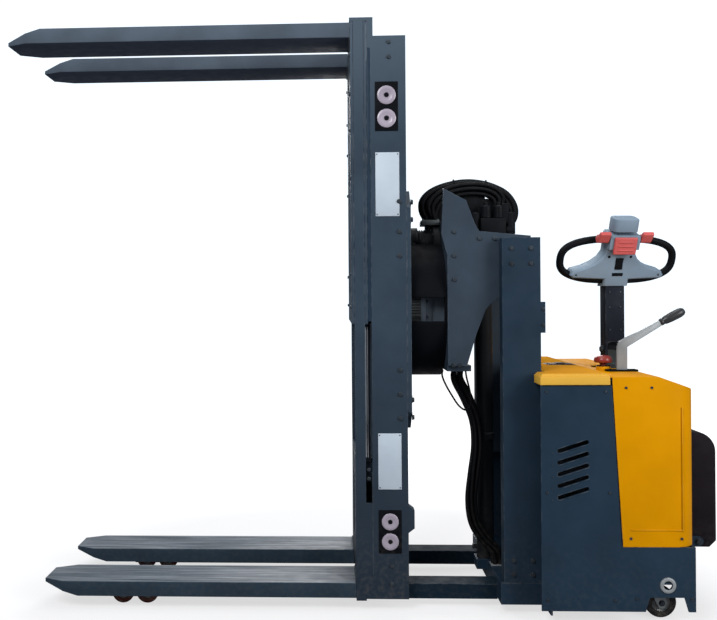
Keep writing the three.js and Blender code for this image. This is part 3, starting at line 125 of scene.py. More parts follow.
class Finish(Enum):
    """Names of the finishes: first the record's material slots, then the scene's own."""

    DARK = "dark_paint"
    MAST = "mast_paint"
    LEG = "leg_paint"
    FORK = "fork_paint"
    FRAME = "frame_paint"
    CARRIAGE = "carriage_paint"
    LID = "yellow_lid"
    COVER = "yellow_cover"
    GUARD = "guard_black"
    GEAR = "gear_steel"
    BEARING = "bearing_steel"
    MOTOR = "motor_grey"
    CHROME = "bright_chrome"
    CYLINDER = "cylinder_grey"
    STEEL = "roller_steel"
    POLY = "roller_poly"
    TYRE = "rubber_tyre"
    ZINC = "zinc_plated"
    BLACK = "black_plastic"
    GREY = "grey_plastic"
    RED = "red_plastic"
    CASE = "case_plastic"
    PUMP = "pump_iron"
    DRIVE = "drive_iron"
    HOSE = "hose_rubber"
    MAT = "platform_rubber"
    ARM = "arm_paint"
    PLATE = "blank_plate"
    DISC = "pale_disc"
    BOLT = "bolt_steel"
    PALE_LIT_FORK = "pale_lit_fork"
    WELD = "weld_bead"
    HUB = "wheel_hub"
    RECESS_SHADE = "recess_painted_shade"
    GRIP = "grip_black"
    STOP = "stop_red"


@dataclass(frozen=True)
class Look:
    """How one finish is built from nodes. Colours are sRGB, 0 to 255.

    Attributes:
        vary: share of slow colour variation.
        wear, worn: how far worn edges show, 0 for none, and their colour.
        grain, stretch: noise scale of the fine bump in waves per metre, and along each axis.
        bump: bump height in metres.
        coat: clear coat weight.
        dust: share of pale dust near the floor.
        edge: radius of the softened edges, in metres.
        scuff: share of pale scratches on faces that point up.
        weave: True for a hose's spiral wrap along its own UV.
        gloss: specular level, 0.5 for ordinary plastic.
        painted_shade, painted_shade_color: share of painted shade on faces that point up and on
            those that point down, for how the light falls on tops and undersides, and its colour.
        painted_light_bands: height in metres where each band of painted light and shade starts,
            where it is full, and its colour.
        slot: the record's finish that it belongs with, if it has none of its own; not used.
    """

    color: Color
    rough: float = 0.45
    metal: float = 0.0
    vary: float = 0.12
    wear: float = 0.35
    worn: Color = (138, 144, 150)
    grain: float = 420.0
    bump: float = 0.00012
    stretch: Point = (1.0, 1.0, 1.0)
    coat: float = 0.0
    dust: float = 0.25
    edge: float = 0.0022
    scuff: float = 0.0
    weave: bool = False
    gloss: float = 0.25
    painted_shade: Span = (0.0, 0.0)
    painted_shade_color: Color = (60, 58, 54)
    painted_light_bands: tuple[tuple[float, float, Color], ...] = ()
    slot: Finish | None = None


LOOKS: dict[Finish, Look] = {
    Finish.DARK: Look((30, 49, 66), 0.42, vary=0.1, wear=0.25, coat=0.06, dust=0.08, gloss=0.16),
    Finish.MAST: Look((32, 49, 65), 0.44, vary=0.1, wear=0.3, dust=0.15, gloss=0.16),
    Finish.LEG: Look((23, 37, 49), 0.5, wear=0.4, dust=0.08, gloss=0.02),
    Finish.FORK: Look((42, 57, 70), 0.46, wear=0.5, scuff=0.85, stretch=(0.06, 1.0, 1.0),
                      dust=0.1, gloss=0.18),
    # Painted light toward the frame's top, and painted shade toward its foot.
    Finish.FRAME: Look((48, 62, 76), 0.46, vary=0.1, wear=0.35, gloss=0.18,
                       painted_light_bands=((1.6, 1.9, (67, 80, 93)), (1.0, 0.1, (34, 45, 57)))),
    Finish.CARRIAGE: Look((50, 62, 75), 0.48, wear=0.3, gloss=0.18),
    # The lid's yellow paint, lightened to a painted highlight where its sides catch the light; its
    # top is darkened with painted shade.
    Finish.LID: Look((222, 172, 70), 0.5, vary=0.03, wear=0.12, worn=(240, 206, 128), dust=0.0,
                     edge=0.004, gloss=0.0, painted_shade=(0.8, 0.0), painted_shade_color=(190, 125, 27)),
    Finish.COVER: Look((212, 143, 1), 0.42, vary=0.04, wear=0.1, worn=(236, 196, 110),
                       grain=700.0, bump=0.00006, dust=0.0, edge=0.004, gloss=0.03),
    Finish.GUARD: Look((13, 15, 20), 0.55, vary=0.12, wear=0.2, worn=(58, 62, 66), gloss=0.05),
    Finish.GEAR: Look((88, 92, 92), 0.3, 0.85, vary=0.35, wear=0.5, worn=(170, 172, 170),
                      grain=240.0, coat=0.3, edge=0.0007),
    # The ring's grey paint, partly lightened as painted light to make up for the shade of the guard
    # round it.
    Finish.BEARING: Look((98, 109, 122), 0.45, 0.1, wear=0.3),
    Finish.MOTOR: Look((34, 38, 41), 0.55, 0.1, vary=0.2, grain=900.0, bump=0.0002, gloss=0.15),
    Finish.CHROME: Look((206, 208, 212), 0.12, 1.0, vary=0.05, wear=0.0, grain=60.0, bump=0.00001),
    Finish.CYLINDER: Look((28, 31, 35), 0.42, 0.05, wear=0.25, gloss=0.15),
    Finish.STEEL: Look((140, 142, 145), 0.3, 0.95, vary=0.2, grain=300.0, stretch=(1.0, 0.1, 1.0)),
    Finish.POLY: Look((96, 48, 38), 0.5, vary=0.2, wear=0.3, worn=(150, 110, 96), dust=0.5),
    Finish.TYRE: Look((36, 36, 38), 0.78, vary=0.25, wear=0.4, worn=(88, 86, 84), grain=800.0,
                      bump=0.0003, dust=0.5),
    Finish.ZINC: Look((150, 155, 158), 0.46, 0.35, vary=0.14, wear=0.15, worn=(190, 192, 192),
                      grain=180.0, edge=0.0012),
    Finish.BLACK: Look((14, 16, 20), 0.5, vary=0.15, wear=0.15, worn=(60, 62, 66), grain=1500.0,
                       bump=0.00014, edge=0.0015, gloss=0.08),
    Finish.GREY: Look((126, 144, 161), 0.48, vary=0.07, wear=0.15, worn=(160, 172, 184),
                      grain=1600.0, bump=0.00008, edge=0.002),
    Finish.RED: Look((204, 92, 90), 0.44, vary=0.08, wear=0.15, worn=(206, 120, 112), grain=1400.0,
                     bump=0.00005, edge=0.0015),
    Finish.CASE: Look((52, 55, 60), 0.6, vary=0.14, grain=900.0),
    Finish.PUMP: Look((74, 80, 82), 0.5, 0.5, vary=0.25, grain=600.0, bump=0.0002),
    Finish.DRIVE: Look((60, 66, 68), 0.55, 0.4, vary=0.25, grain=700.0, bump=0.00025),
    Finish.HOSE: Look((13, 14, 17), 0.55, vary=0.15, wear=0.0, grain=900.0, weave=True, gloss=0.12),
    Finish.MAT: Look((27, 22, 29), 0.62, vary=0.2, wear=0.3, worn=(74, 70, 76), grain=900.0,
                     bump=0.0002, edge=0.004, gloss=0.12),
    Finish.ARM: Look((28, 33, 43), 0.5, vary=0.1, wear=0.3, grain=700.0, gloss=0.07),
    Finish.PLATE: Look((184, 196, 208), 0.42, vary=0.05, wear=0.25, worn=(206, 214, 220),
                       grain=300.0, bump=0.00003, dust=0.1, slot=Finish.GREY),
    Finish.DISC: Look((162, 152, 166), 0.25, vary=0.08, wear=0.2, grain=900.0, coat=0.5,
                      slot=Finish.GREY),
    Finish.BOLT: Look((60, 68, 76), 0.42, 0.6, vary=0.2, wear=0.5, worn=(120, 126, 130),
                      grain=600.0, edge=0.0006, slot=Finish.ZINC),
    # Paler than the lower forks: partly their own paint, partly painted light on these high forks;
    # their undersides get painted shade.
    Finish.PALE_LIT_FORK: Look((78, 88, 100), 0.5, vary=0.1, wear=0.5, worn=(60, 72, 84),
                           stretch=(0.06, 1.0, 1.0), dust=0.0, gloss=0.03, painted_shade=(0.0, 0.8),
                           painted_shade_color=(52, 59, 75), slot=Finish.FORK),
    Finish.WELD: Look((52, 62, 71), 0.5, 0.3, vary=0.3, wear=0.7, grain=380.0, bump=0.0005,
                      edge=0.0004, slot=Finish.FRAME),
    Finish.HUB: Look((120, 122, 122), 0.4, 0.8, vary=0.2, grain=300.0, slot=Finish.ZINC),
    # Painted shade: a shaded yellow for the sheet laid where the lid's recess is.
    Finish.RECESS_SHADE: Look((70, 48, 18), 0.6, vary=0.1, wear=0.0, slot=Finish.LID),
    Finish.GRIP: Look((44, 45, 48), 0.42, vary=0.1, wear=0.25, worn=(110, 110, 112), grain=500.0,
                      coat=0.3, slot=Finish.BLACK),
    Finish.STOP: Look((134, 48, 40), 0.34, vary=0.1, wear=0.15, grain=900.0, bump=0.00004,
                      coat=0.3, slot=Finish.RED),
}


def linear(color: Iterable[float]) -> tuple[float, float, float, float]:
    """Turns an sRGB colour of 0 to 255 into linear values.

    Args:
        color: red, green and blue, 0 to 255.

    Returns:
        Linear red, green, blue and an alpha of one.
    """
    shares = [value / 255 for value in color]
    values = [s / 12.92 if s <= 0.04045 else ((s + 0.055) / 1.055) ** 2.4 for s in shares]
    return (*values, 1.0)


class NodeTree:
    """Adds nodes to a node tree and joins them."""

    def __init__(self, tree: bpy.types.NodeTree) -> None:
        """Keeps the tree.

        Args:
            tree: the tree.
        """
        self.tree = tree

    def node(self, kind: str, **values: object) -> bpy.types.Node:
        """Adds a node.

        Args:
            kind: the node's type name.
            **values: attributes to set on it.

        Returns:
            The new node.
        """
        made = self.tree.nodes.new(kind)
        for key, value in values.items():
            setattr(made, key, value)
        return made

    def link(self, source: Socket, target: Socket) -> None:
        """Joins two sockets.

        Args:
            source: an output socket.
            target: an input socket.
        """
        self.tree.links.new(source, target)

    def ramp(self, source: Socket, low: float, high: float, to_low: float = 0.0,
             to_high: float = 1.0) -> Socket:
        """Maps a value from one range to another, clamped.

        Args:
            source: the value's socket.
            low, high: the value's range.
            to_low, to_high: the output at low and at high.

        Returns:
            The result's socket.
        """
        made = self.node("ShaderNodeMapRange")
        for key, value in zip(("From Min", "From Max", "To Min", "To Max"),
                              (low, high, to_low, to_high)):
            made.inputs[key].default_value = value
        self.link(source, made.inputs["Value"])
        return made.outputs["Result"]

    def times(self, first: Socket, second: Socket | float) -> Socket:
        """Multiplies two values.

        Args:
            first: a socket.
            second: a socket or a number.

        Returns:
            The product's socket.
        """
        made = self.node("ShaderNodeMath", operation="MULTIPLY")
        self.link(first, made.inputs[0])
        if isinstance(second, (int, float)):
            made.inputs[1].default_value = second
        else:
            self.link(second, made.inputs[1])
        return made.outputs["Value"]


class Material(NodeTree):
    """Builds one procedural material from a Look.

    Attributes:
        facing: upward share of a normal where a face starts to point up, and where it does.
        scratch: colour of the scratches.
        dirt, dirt_top: colour of the dust, and the height in metres where it ends.
    """

    facing: Span = (0.7, 0.95)
    scratch: Color = (168, 173, 180)
    dirt: Color = (120, 112, 102)
    dirt_top: float = 0.32

    def __init__(self, name: str, look: Look) -> None:
        """Makes the material.

        Args:
            name: the material's name.
            look: its colours, wear and grain.
        """
        self.look = look
        self.material = bpy.data.materials.new(name)
        self.material.use_nodes = True
        super().__init__(self.material.node_tree)
        self.shader = self.tree.nodes["Principled BSDF"]
        self.coords = self.node("ShaderNodeTexCoord")
        self._color()
        patchy = self.ramp(self.noise(24.0, 4.0), 0.3, 0.7, look.rough * 0.82,
                           min(1.0, look.rough * 1.22))
        self.link(patchy, self.shader.inputs["Roughness"])
        for key, value in (("Metallic", look.metal), ("Coat Weight", look.coat),
                           ("Specular IOR Level", look.gloss), ("Coat Roughness", 0.18)):
            self.shader.inputs[key].default_value = value
        self._relief()

    def noise(self, scale: float, detail: float = 3.0,
              stretch: Point = (1.0, 1.0, 1.0)) -> Socket:
        """Adds a noise pattern on Object coordinates.

        Args:
            scale: waves per metre.
            detail: octaves of detail.
            stretch: scale along each axis.

        Returns:
            The noise node's factor socket.
        """
        mapping = self.node("ShaderNodeMapping")
        mapping.inputs["Scale"].default_value = stretch
        self.link(self.coords.outputs["Object"], mapping.inputs["Vector"])
        texture = self.node("ShaderNodeTexNoise")
        texture.inputs["Scale"].default_value = scale
        texture.inputs["Detail"].default_value = detail
        self.link(mapping.outputs["Vector"], texture.inputs["Vector"])
        return texture.outputs["Fac"]

    def mix(self, factor: Socket, first: Socket | tuple, second: Socket | tuple) -> Socket:
        """Mixes two colours.

        Args:
            factor: the share's socket.
            first: a socket or a linear colour, shown where factor is 0.
            second: a socket or a linear colour, shown where factor is 1.

        Returns:
            The mixed colour's socket.
        """
        made = self.node("ShaderNodeMix", data_type="RGBA")
        self.link(factor, made.inputs["Factor"])
        for value, target in ((first, made.inputs[6]), (second, made.inputs[7])):
            if isinstance(value, tuple):
                target.default_value = value
            else:
                self.link(value, target)
        return made.outputs[2]

    def softened(self, radius: float) -> Socket:
        """Finds the normal with rounded edges.

        Args:
            radius: the edges' radius in metres.

        Returns:
            The normal's socket.
        """
        soft = self.node("ShaderNodeBevel", samples=4)
        soft.inputs["Radius"].default_value = radius
        return soft.outputs["Normal"]

    def upward(self, vector: Socket) -> Socket:
        """Takes a vector's z.

        Args:
            vector: its socket.

        Returns:
            The socket of its z.
        """
        split = self.node("ShaderNodeSeparateXYZ")
        self.link(vector, split.inputs["Vector"])
        return split.outputs["Z"]

    def _color(self) -> None:
        """Wires the colour: slow variation, worn edges, painted shade on tops and undersides,
        scratches, painted light and shade by height, and dust.
        """
        look = self.look
        base = linear(look.color)
        darker = tuple(v * (1 - look.vary * 1.6) for v in base[:3]) + (1.0,)
        lighter = tuple(min(1.0, v * (1 + look.vary)) for v in base[:3]) + (1.0,)
        color = self.mix(self.ramp(self.noise(7.0, 4.0), 0.35, 0.68), darker, lighter)
        normal = self.node("ShaderNodeNewGeometry").outputs["Normal"]
        if look.wear > 0:
            dot = self.node("ShaderNodeVectorMath", operation="DOT_PRODUCT")
            self.link(self.softened(look.edge * 2.4), dot.inputs[0])
            self.link(normal, dot.inputs[1])
            edges = self.ramp(dot.outputs["Value"], 0.985, 0.8)
            patches = self.ramp(self.noise(38.0, 5.0), 0.42, 0.62)
            color = self.mix(self.times(self.times(edges, patches), look.wear), color,
                             linear(look.worn))
        up = self.upward(normal)
        # Painted shade: faces that point up, and those that point down, are darkened toward
        # painted_shade_color for how the light falls on them.
        for share, way in zip(look.painted_shade, (1, -1)):
            if share > 0:
                facing = self.ramp(up, *(way * v for v in self.facing))
                color = self.mix(self.times(facing, share), color, linear(look.painted_shade_color))
        if look.scuff > 0:
            streaks = self.ramp(self.noise(120.0, 5.0, (0.03, 1.0, 1.0)), 0.3, 0.75)
            rubbed = self.ramp(self.noise(9.0, 3.0, (0.4, 1.0, 1.0)), 0.3, 0.6, 0.45, 1.0)
            share = self.times(self.times(self.ramp(up, *self.facing), streaks), rubbed)
            color = self.mix(self.times(share, look.scuff), color, linear(self.scratch))
        height = self.upward(self.coords.outputs["Object"])
        # Painted light and shade by height.
        for start, full, shade in look.painted_light_bands:
            color = self.mix(self.ramp(height, start, full), color, linear(shade))
        if look.dust > 0:
            speckle = self.ramp(self.noise(60.0, 6.0), 0.45, 0.75)
            share = self.times(self.ramp(height, self.dirt_top, 0.0), speckle)
            color = self.mix(self.times(share, look.dust), color, linear(self.dirt))
        self.link(color, self.shader.inputs["Base Color"])

    def _relief(self) -> None:
        """Wires the softened edges and the fine bump into the shader's normal."""
        look = self.look
        bump = self.node("ShaderNodeBump")
        bump.inputs["Strength"].default_value = 0.6
        bump.inputs["Distance"].default_value = 0.0006 if look.weave else look.bump
        height = self._wrap() if look.weave else self.noise(look.grain, 3.0, look.stretch)
        self.link(height, bump.inputs["Height"])
        self.link(self.softened(look.edge), bump.inputs["Normal"])
        self.link(bump.outputs["Normal"], self.shader.inputs["Normal"])

    def _wrap(self) -> Socket:
        """Adds a hose's wrapped cover, on its UV, whose u runs in metres along it.

        Returns:
            The wave's socket.
        """
        mapping = self.node("ShaderNodeMapping")
        mapping.inputs["Scale"].default_value = (250.0, 2.0, 1.0)
        self.link(self.coords.outputs["UV"], mapping.inputs["Vector"])
        wave = self.node("ShaderNodeTexWave", bands_direction="DIAGONAL")
        wave.inputs["Scale"].default_value = 1.0
        wave.inputs["Distortion"].default_value = 0.6
        self.link(mapping.outputs["Vector"], wave.inputs["Vector"])
        return wave.outputs["Fac"]


MATERIALS = {finish: Material(finish.value, look).material for finish, look in LOOKS.items()}


def axis_turn(axis: str) -> Matrix:
    """Turns +Z to a named axis.

    Args:
        axis: x, y or z, with a leading minus for the other way.

    Returns:
        The rotation.
    """
    turns = {"z": (0, "X"), "-z": (180, "X"), "x": (90, "Y"), "-x": (-90, "Y"),
             "y": (-90, "X"), "-y": (90, "X")}
    degrees, about = turns[axis]
    return Matrix.Rotation(math.radians(degrees), 4, about)


@dataclass
class Shape:
    """A mesh piece that gathers simple solids, in millimetres, and is then dressed.

    Attributes:
        body: the CAD body that it rides on.
        place: the matrix from the piece's own axes to the row frame.
        stands_for: CAD nodes that it replaces.
        smooth_angle: edges sharper than this many degrees stay sharp.
    """

    name: str
    body: str
    finish: Finish
    place: Matrix = ROOT_X
    stands_for: tuple[str, ...] = ()
    smooth_angle: float = 38.0

    def __post_init__(self) -> None:
        """Starts the piece empty."""
        self.bm = bmesh.new()

    def _merge(self, part: bmesh.types.BMesh, bevel: float = 0.0, segments: int = 2,
               least_angle: float = 40.0) -> "Shape":
        """Bevels a new solid's sharp edges and adds it to the piece.

        Args:
            part: the solid.
            bevel: radius of its edges, 0 to leave them.
            segments: segments of the bevel.
            least_angle: edges flatter than this many degrees stay as they are.

        Returns:
            The piece.
        """
        if bevel > 0:
            limit = math.radians(least_angle)
            sharp = [e for e in part.edges if len(e.link_faces) == 2
                     and e.calc_face_angle(0) > limit]
            bmesh.ops.bevel(part, geom=sharp, offset=bevel, segments=segments, profile=0.5,
                            affect="EDGES", clamp_overlap=True, material=-1)
        bmesh.ops.recalc_face_normals(part, faces=part.faces)
        mesh = bpy.data.meshes.new("part")
        part.to_mesh(mesh)
        part.free()
        self.bm.from_mesh(mesh)
        bpy.data.meshes.remove(mesh)
        return self

    def box(self, x: Span, y: Span, z: Span, bevel: float = 1.0, segments: int = 2,
            turn: Matrix | None = None) -> "Shape":
        """Adds a box with softened edges.

        Args:
            x, y, z: its two places along each axis.
            bevel: radius of its edges.
            segments: segments of the bevel.
            turn: an optional turn about its middle.

        Returns:
            The piece.
        """
        part = bmesh.new()
        bmesh.ops.create_cube(part, size=1.0)
        size = [abs(b - a) for a, b in (x, y, z)]
        bmesh.ops.scale(part, vec=size, verts=part.verts)
        if turn is not None:
            bmesh.ops.transform(part, matrix=turn, verts=part.verts)
        middle = Vector([(a + b) / 2 for a, b in (x, y, z)])
        bmesh.ops.translate(part, vec=middle, verts=part.verts)
        return self._merge(part, min(bevel, min(size) * 0.45), segments)

    def lathe(self, profile: Profile, axis: str, origin: Point = (0, 0, 0),
              steps: int = 48) -> "Shape":
        """Revolves [radius, along] pairs round an axis.

        Args:
            profile: radius and distance along the axis, in order.
            axis: x, y or z, with a leading minus for the other way.
            origin: where the axis starts.
            steps: segments round the axis.

        Returns:
            The piece.
        """
        part = bmesh.new()
        corners = [part.verts.new((radius, 0, along)) for radius, along in profile]
        edges = [part.edges.new(pair) for pair in zip(corners, corners[1:])]
        bmesh.ops.spin(part, geom=[*corners, *edges], cent=(0, 0, 0), axis=(0, 0, 1),
                       angle=math.tau, steps=steps, use_merge=True)
        bmesh.ops.remove_doubles(part, verts=part.verts, dist=1e-4)
        bmesh.ops.transform(part, matrix=Matrix.Translation(origin) @ axis_turn(axis),
                            verts=part.verts)
        return self._merge(part)

    def rod(self, axis: str, origin: Point, radius: float, length: float, steps: int = 24,
            edge: float = 0.8) -> "Shape":
        """Adds a solid cylinder with softened rims.

        Args:
            axis: x, y or z, with a leading minus for the other way.
            origin: the middle of its first end.
            radius: its radius.
            length: its length.
            steps: segments round the axis.
            edge: size of the rims' chamfer.

        Returns:
            The piece.
        """
        e = min(edge, radius * 0.4, length * 0.4)
        profile = [(0, 0), (radius - e, 0), (radius, e), (radius, length - e),
                   (radius - e, length), (0, length)]
        return self.lathe(profile, axis, origin, steps)

    def bolt(self, place: Point, axis: str, radius: float) -> "Shape":
        """Adds a hexagon head on a washer.

        Args:
            place: where the head sits.
            axis: the way the head points.
            radius: the head's corner radius.

        Returns:
            The piece.
        """
        self.rod(axis, place, radius * 1.25, radius * 0.22, 20, 0.3)
        high = Vector(place) + axis_turn(axis) @ Vector((0, 0, radius * 0.2))
        return self.rod(axis, high, radius, radius * 0.75, 6, 0.5)

    def socket_screw(self, place: Point, axis: str, radius: float) -> "Shape":
        """Adds a round screw head with a hexagon socket.

        Args:
            place: where the head sits.
            axis: the way the head points.
            radius: the head's radius.

        Returns:
            The piece.
        """
        shares = ((0, 0), (1, 0), (1, 0.6), (0.86, 0.8), (0.5, 0.8), (0.45, 0.3), (0, 0.3))
        return self.lathe([(radius * out, radius * up) for out, up in shares], axis, place, 18)

    def both_faces(self, head: Head, face_y: float, places: Iterable[Span],
                   radius: float) -> "Shape":
        """Adds a bolt or a screw at each place on the left and on the right face.

        Args:
            head: Shape.bolt or Shape.socket_screw.
            face_y: the left face.
            places: their x and z.
            radius: the head's radius.

        Returns:
            The piece.
        """
        for (side, axis), (x, z) in product(FACING_Y, places):
            head(self, (x, side * face_y, z), axis, radius)
        return self

    def prism(self, outline: Profile, axis: str, span: Span, bevel: float = 1.0,
              segments: int = 2) -> "Shape":
        """Extrudes an outline along x (drawn in y, z), y (in x, z) or z (in x, y).

        Args:
            outline: the corners, in order.
            axis: x, y or z.
            span: where it starts and ends along the axis.
            bevel: radius of its edges.
            segments: segments of the bevel.

        Returns:
            The piece.
        """
        low, high = min(span), max(span)
        at = "xyz".index(axis)
        way = [0.0, 0.0, 0.0]
        way[at] = high - low
        part = bmesh.new()
        face = part.faces.new([part.verts.new((*pair[:at], low, *pair[at:])) for pair in outline])
        moved = bmesh.ops.extrude_face_region(part, geom=[face])["geom"]
        bmesh.ops.translate(part, vec=way,
                            verts=[v for v in moved if isinstance(v, bmesh.types.BMVert)])
        bmesh.ops.recalc_face_normals(part, faces=part.faces)
        return self._merge(part, bevel, segments, 30.0)

    def sweep(self, points: Sequence[Point], radius: float, sides: int = 16,
              closed: bool = False, swell: Callable[[float], float] | None = None) -> "Shape":
        """Sweeps a round section along points, with a UV whose u is metres along it.

        Args:
            points: the centre line.
            radius: the section's radius.
            sides: sides of the section.
            closed: True for a loop.
            swell: optional factor on the radius, from the share of the way along.

        Returns:
            The piece.
        """
        line = [Vector(p) for p in points]
        count = len(line)
        part = bmesh.new()
        layer = part.loops.layers.uv.new("UVMap")
        normal = None
        rings, lengths, run = [], [], 0.0
        for i, here in enumerate(line):
            after = line[(i + 1) % count] if closed or i + 1 < count else here
            before = line[i - 1] if closed or i > 0 else here
            along = (after - before).normalized()
            if normal is None:
                normal = along.cross((0, 1, 0) if abs(along.y) < 0.8 else (1, 0, 0)).normalized()
            normal = (normal - along * normal.dot(along)).normalized()
            other = along.cross(normal)
            scale = radius * (swell(i / max(1, count - 1)) if swell else 1.0)
            rings.append([part.verts.new(here + (normal * u + other * v) * scale)
                          for u, v in on_circle(sides, 1.0, 0.0)])
            lengths.append(run)
            run += (after - here).length * MM
        pairs = list(zip(range(count - 1), range(1, count))) + ([(count - 1, 0)] if closed else [])
        for (a, b), k in product(pairs, range(sides)):
            m = (k + 1) % sides
            face = part.faces.new((rings[a][k], rings[a][m], rings[b][m], rings[b][k]))
            end = lengths[b] if b > a else run
            for loop, (u, v) in zip(face.loops, ((lengths[a], k), (lengths[a], k + 1),
                                                 (end, k + 1), (end, k))):
                loop[layer].uv = (u, v / sides)
        if not closed:
            part.faces.new(list(reversed(rings[0])))
            part.faces.new(rings[-1])
        return self._merge(part)

    def weld(self, start: Point, end: Point, radius: float) -> "Shape":
        """Adds a rippled weld bead between two points.

        Args:
            start: the first end.
            end: the last end.
            radius: the bead's radius.

        Returns:
            The piece.
        """
        a, b = Vector(start), Vector(end)
        count = max(4, int((b - a).length / 3.2))
        return self.sweep([a.lerp(b, i / count) for i in range(count + 1)], radius, 8,
                          swell=lambda share: 1.0 + 0.16 * math.sin(share * count * math.pi))

    def copy_of(self, node: str, bevel: float, segments: int,
                least_angle: float = 32.0) -> "Shape":
        """Copies a CAD node's mesh, merged, with softened edges.

        Args:
            node: the CAD node.
            bevel: radius of its edges.
            segments: segments of the bevel.
            least_angle: edges flatter than this stay as they are.

        Returns:
            The piece.
        """
        part = bmesh.new()
        part.from_mesh(frame["nodes"][node].data)
        bmesh.ops.transform(part, matrix=Matrix.Scale(1 / MM, 4), verts=part.verts)
        bmesh.ops.remove_doubles(part, verts=part.verts, dist=0.02)
        bmesh.ops.dissolve_limit(part, angle_limit=math.radians(0.8), verts=part.verts,
                                 edges=part.edges)
        for layer in list(part.loops.layers.uv.values()):
            part.loops.layers.uv.remove(layer)
        self.place = Matrix.Identity(4)
        self.stands_for = (*self.stands_for, node)
        return self._merge(part, bevel, segments, least_angle)

    def done(self, ride: bool = True) -> bpy.types.Object:
        """Makes the object, in metres at the origin, with its material and its body.

        Args:
            ride: False to leave the piece on no body, as for one that reaches between two bodies.

        Returns:
            The object.
        """
        bmesh.ops.scale(self.bm, vec=(MM, MM, MM), verts=self.bm.verts)
        bmesh.ops.transform(self.bm, matrix=self.place, verts=self.bm.verts)
        limit = math.radians(self.smooth_angle)
        for edge in self.bm.edges:
            edge.smooth = len(edge.link_faces) == 2 and edge.calc_face_angle(0) < limit
        for face in self.bm.faces:
            face.smooth = True
        mesh = bpy.data.meshes.new(self.name)
        self.bm.to_mesh(mesh)
        self.bm.free()
        mesh.materials.append(MATERIALS[self.finish])
        piece = bpy.data.objects.new(self.name, mesh)
        bpy.context.scene.collection.objects.link(piece)
        if ride:
            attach(piece, self.body)
        if self.stands_for:
            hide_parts(*self.stands_for)
        log.info("piece %s: %d faces on %s", self.name, len(mesh.polygons), self.body)
        return piece


def weld_beads(name: str, body: str, pairs: Beads, singles: Beads = ()) -> None:
    """Makes weld beads.

    Args:
        name: the piece's name.
        body: the CAD body that it rides on.
        pairs: the left beads of those on both sides, as two ends and a radius.
        singles: beads without a twin.
    """
    welds = Shape(name, body, Finish.WELD)
    for side, (start, end, radius) in product((-1, 1), pairs):
        welds.weld(*[(x, side * y, z) for x, y, z in (start, end)], radius)
    for bead in singles:
        welds.weld(*bead)
    welds.done()


def catmull(points: Sequence[Point], count: int) -> list[Point]:
    """Samples a smooth curve through points.

    Args:
        points: the points that it passes, in order.
        count: how many samples.

    Returns:
        The samples, ends included.
    """
    line = [Vector(p) for p in points]
    line = [line[0] * 2 - line[1], *line, line[-1] * 2 - line[-2]]
    spans = len(line) - 3
    out = []
    for i in range(count + 1):
        at = min(i / count * spans, spans - 1e-6)
        k = int(at)
        t = at - k
        a, b, c, d = line[k:k + 4]
        here = (b * 2 + (c - a) * t + (a * 2 - b * 5 + c * 4 - d) * t ** 2
                + (b * 3 - a - c * 3 + d) * t ** 3) / 2
        out.append(tuple(here))
    return out


def beside(points: Sequence[Point], out: float, sideways: float, ease: float = 0.0) -> list[Point]:
    """Shifts a line that lies in a plane of constant y, out of its bends and along y.

    Args:
        points: the line.
        out: shift across the line, in its plane.
        sideways: shift along y.
        ease: how far the shift in the plane fades at the line's ends, 0 to 1.

    Returns:
        The shifted line.
    """
    line = [Vector(p) for p in points]
    shifted = []
    for i, here in enumerate(line):
        along = (line[min(i + 1, len(line) - 1)] - line[max(i - 1, 0)]).normalized()
        across = Vector((-along.z, 0, along.x))
        share = i / (len(line) - 1)
        fade = 1 - ease * max(0.0, 1 - min(share, 1 - share) * 6)
        shifted.append(tuple(here + across * out * fade + Vector((0, sideways, 0))))
    return shifted


def on_circle(count: int, radius: float, first: float) -> list[Span]:
    """Places points evenly round a circle.

    Args:
        count: how many.
        radius: the circle's radius.
        first: the first one's angle in degrees.

    Returns:
        The points.
    """
    turns = [math.radians(first + i * 360 / count) for i in range(count)]
    return [(radius * math.cos(a), radius * math.sin(a)) for a in turns]


def arc(radius: float, first: float, last: float, steps: int, axis_z: float = 0.0) -> list[Span]:
    """Places points along an arc.

    Args:
        radius: the arc's radius.
        first, last: the angles between which it runs, in degrees.
        steps: its segments.
        axis_z: height of its centre.

    Returns:
        The points.
    """
    turns = [math.radians(first + (last - first) * i / steps) for i in range(steps + 1)]
    return [(radius * math.cos(a), axis_z + radius * math.sin(a)) for a in turns]


@dataclass(frozen=True)
class PhotoCamera:
    """The camera at the photo's viewing place.

    Attributes:
        image_width, focal: the photo's width and the focal length, in pixels.
        sensor: the sensor's width in millimetres.
        place: where it stands, in metres.
        yaw, roll: its turns about the vertical and about its own axis, in degrees.
        shift: how far its frame is shifted, as shares of the width.
    """

    image_width: int = 717
    focal: float = 888.0
    sensor: float = 36.0
    place: Point = (-0.0773, -3.2421, 1.0523)
    yaw: float = 2.42
    roll: float = -0.4
    shift: Span = (0.0866, -0.0212)

    def build(self) -> None:
        """Makes it the scene's camera."""
        data = bpy.data.cameras.new("photo_camera")
        data.sensor_width = self.sensor
        data.lens = self.focal / self.image_width * self.sensor
        data.shift_x, data.shift_y = self.shift
        camera = bpy.data.objects.new("photo_camera", data)
        camera.location = self.place
        level = Matrix.Rotation(math.radians(90), 3, "X")
        camera.rotation_euler = (Matrix.Rotation(math.radians(self.yaw), 3, "Z") @ level
                                 @ Matrix.Rotation(math.radians(self.roll), 3, "Z")).to_euler()
        bpy.context.scene.collection.objects.link(camera)
        bpy.context.scene.camera = camera


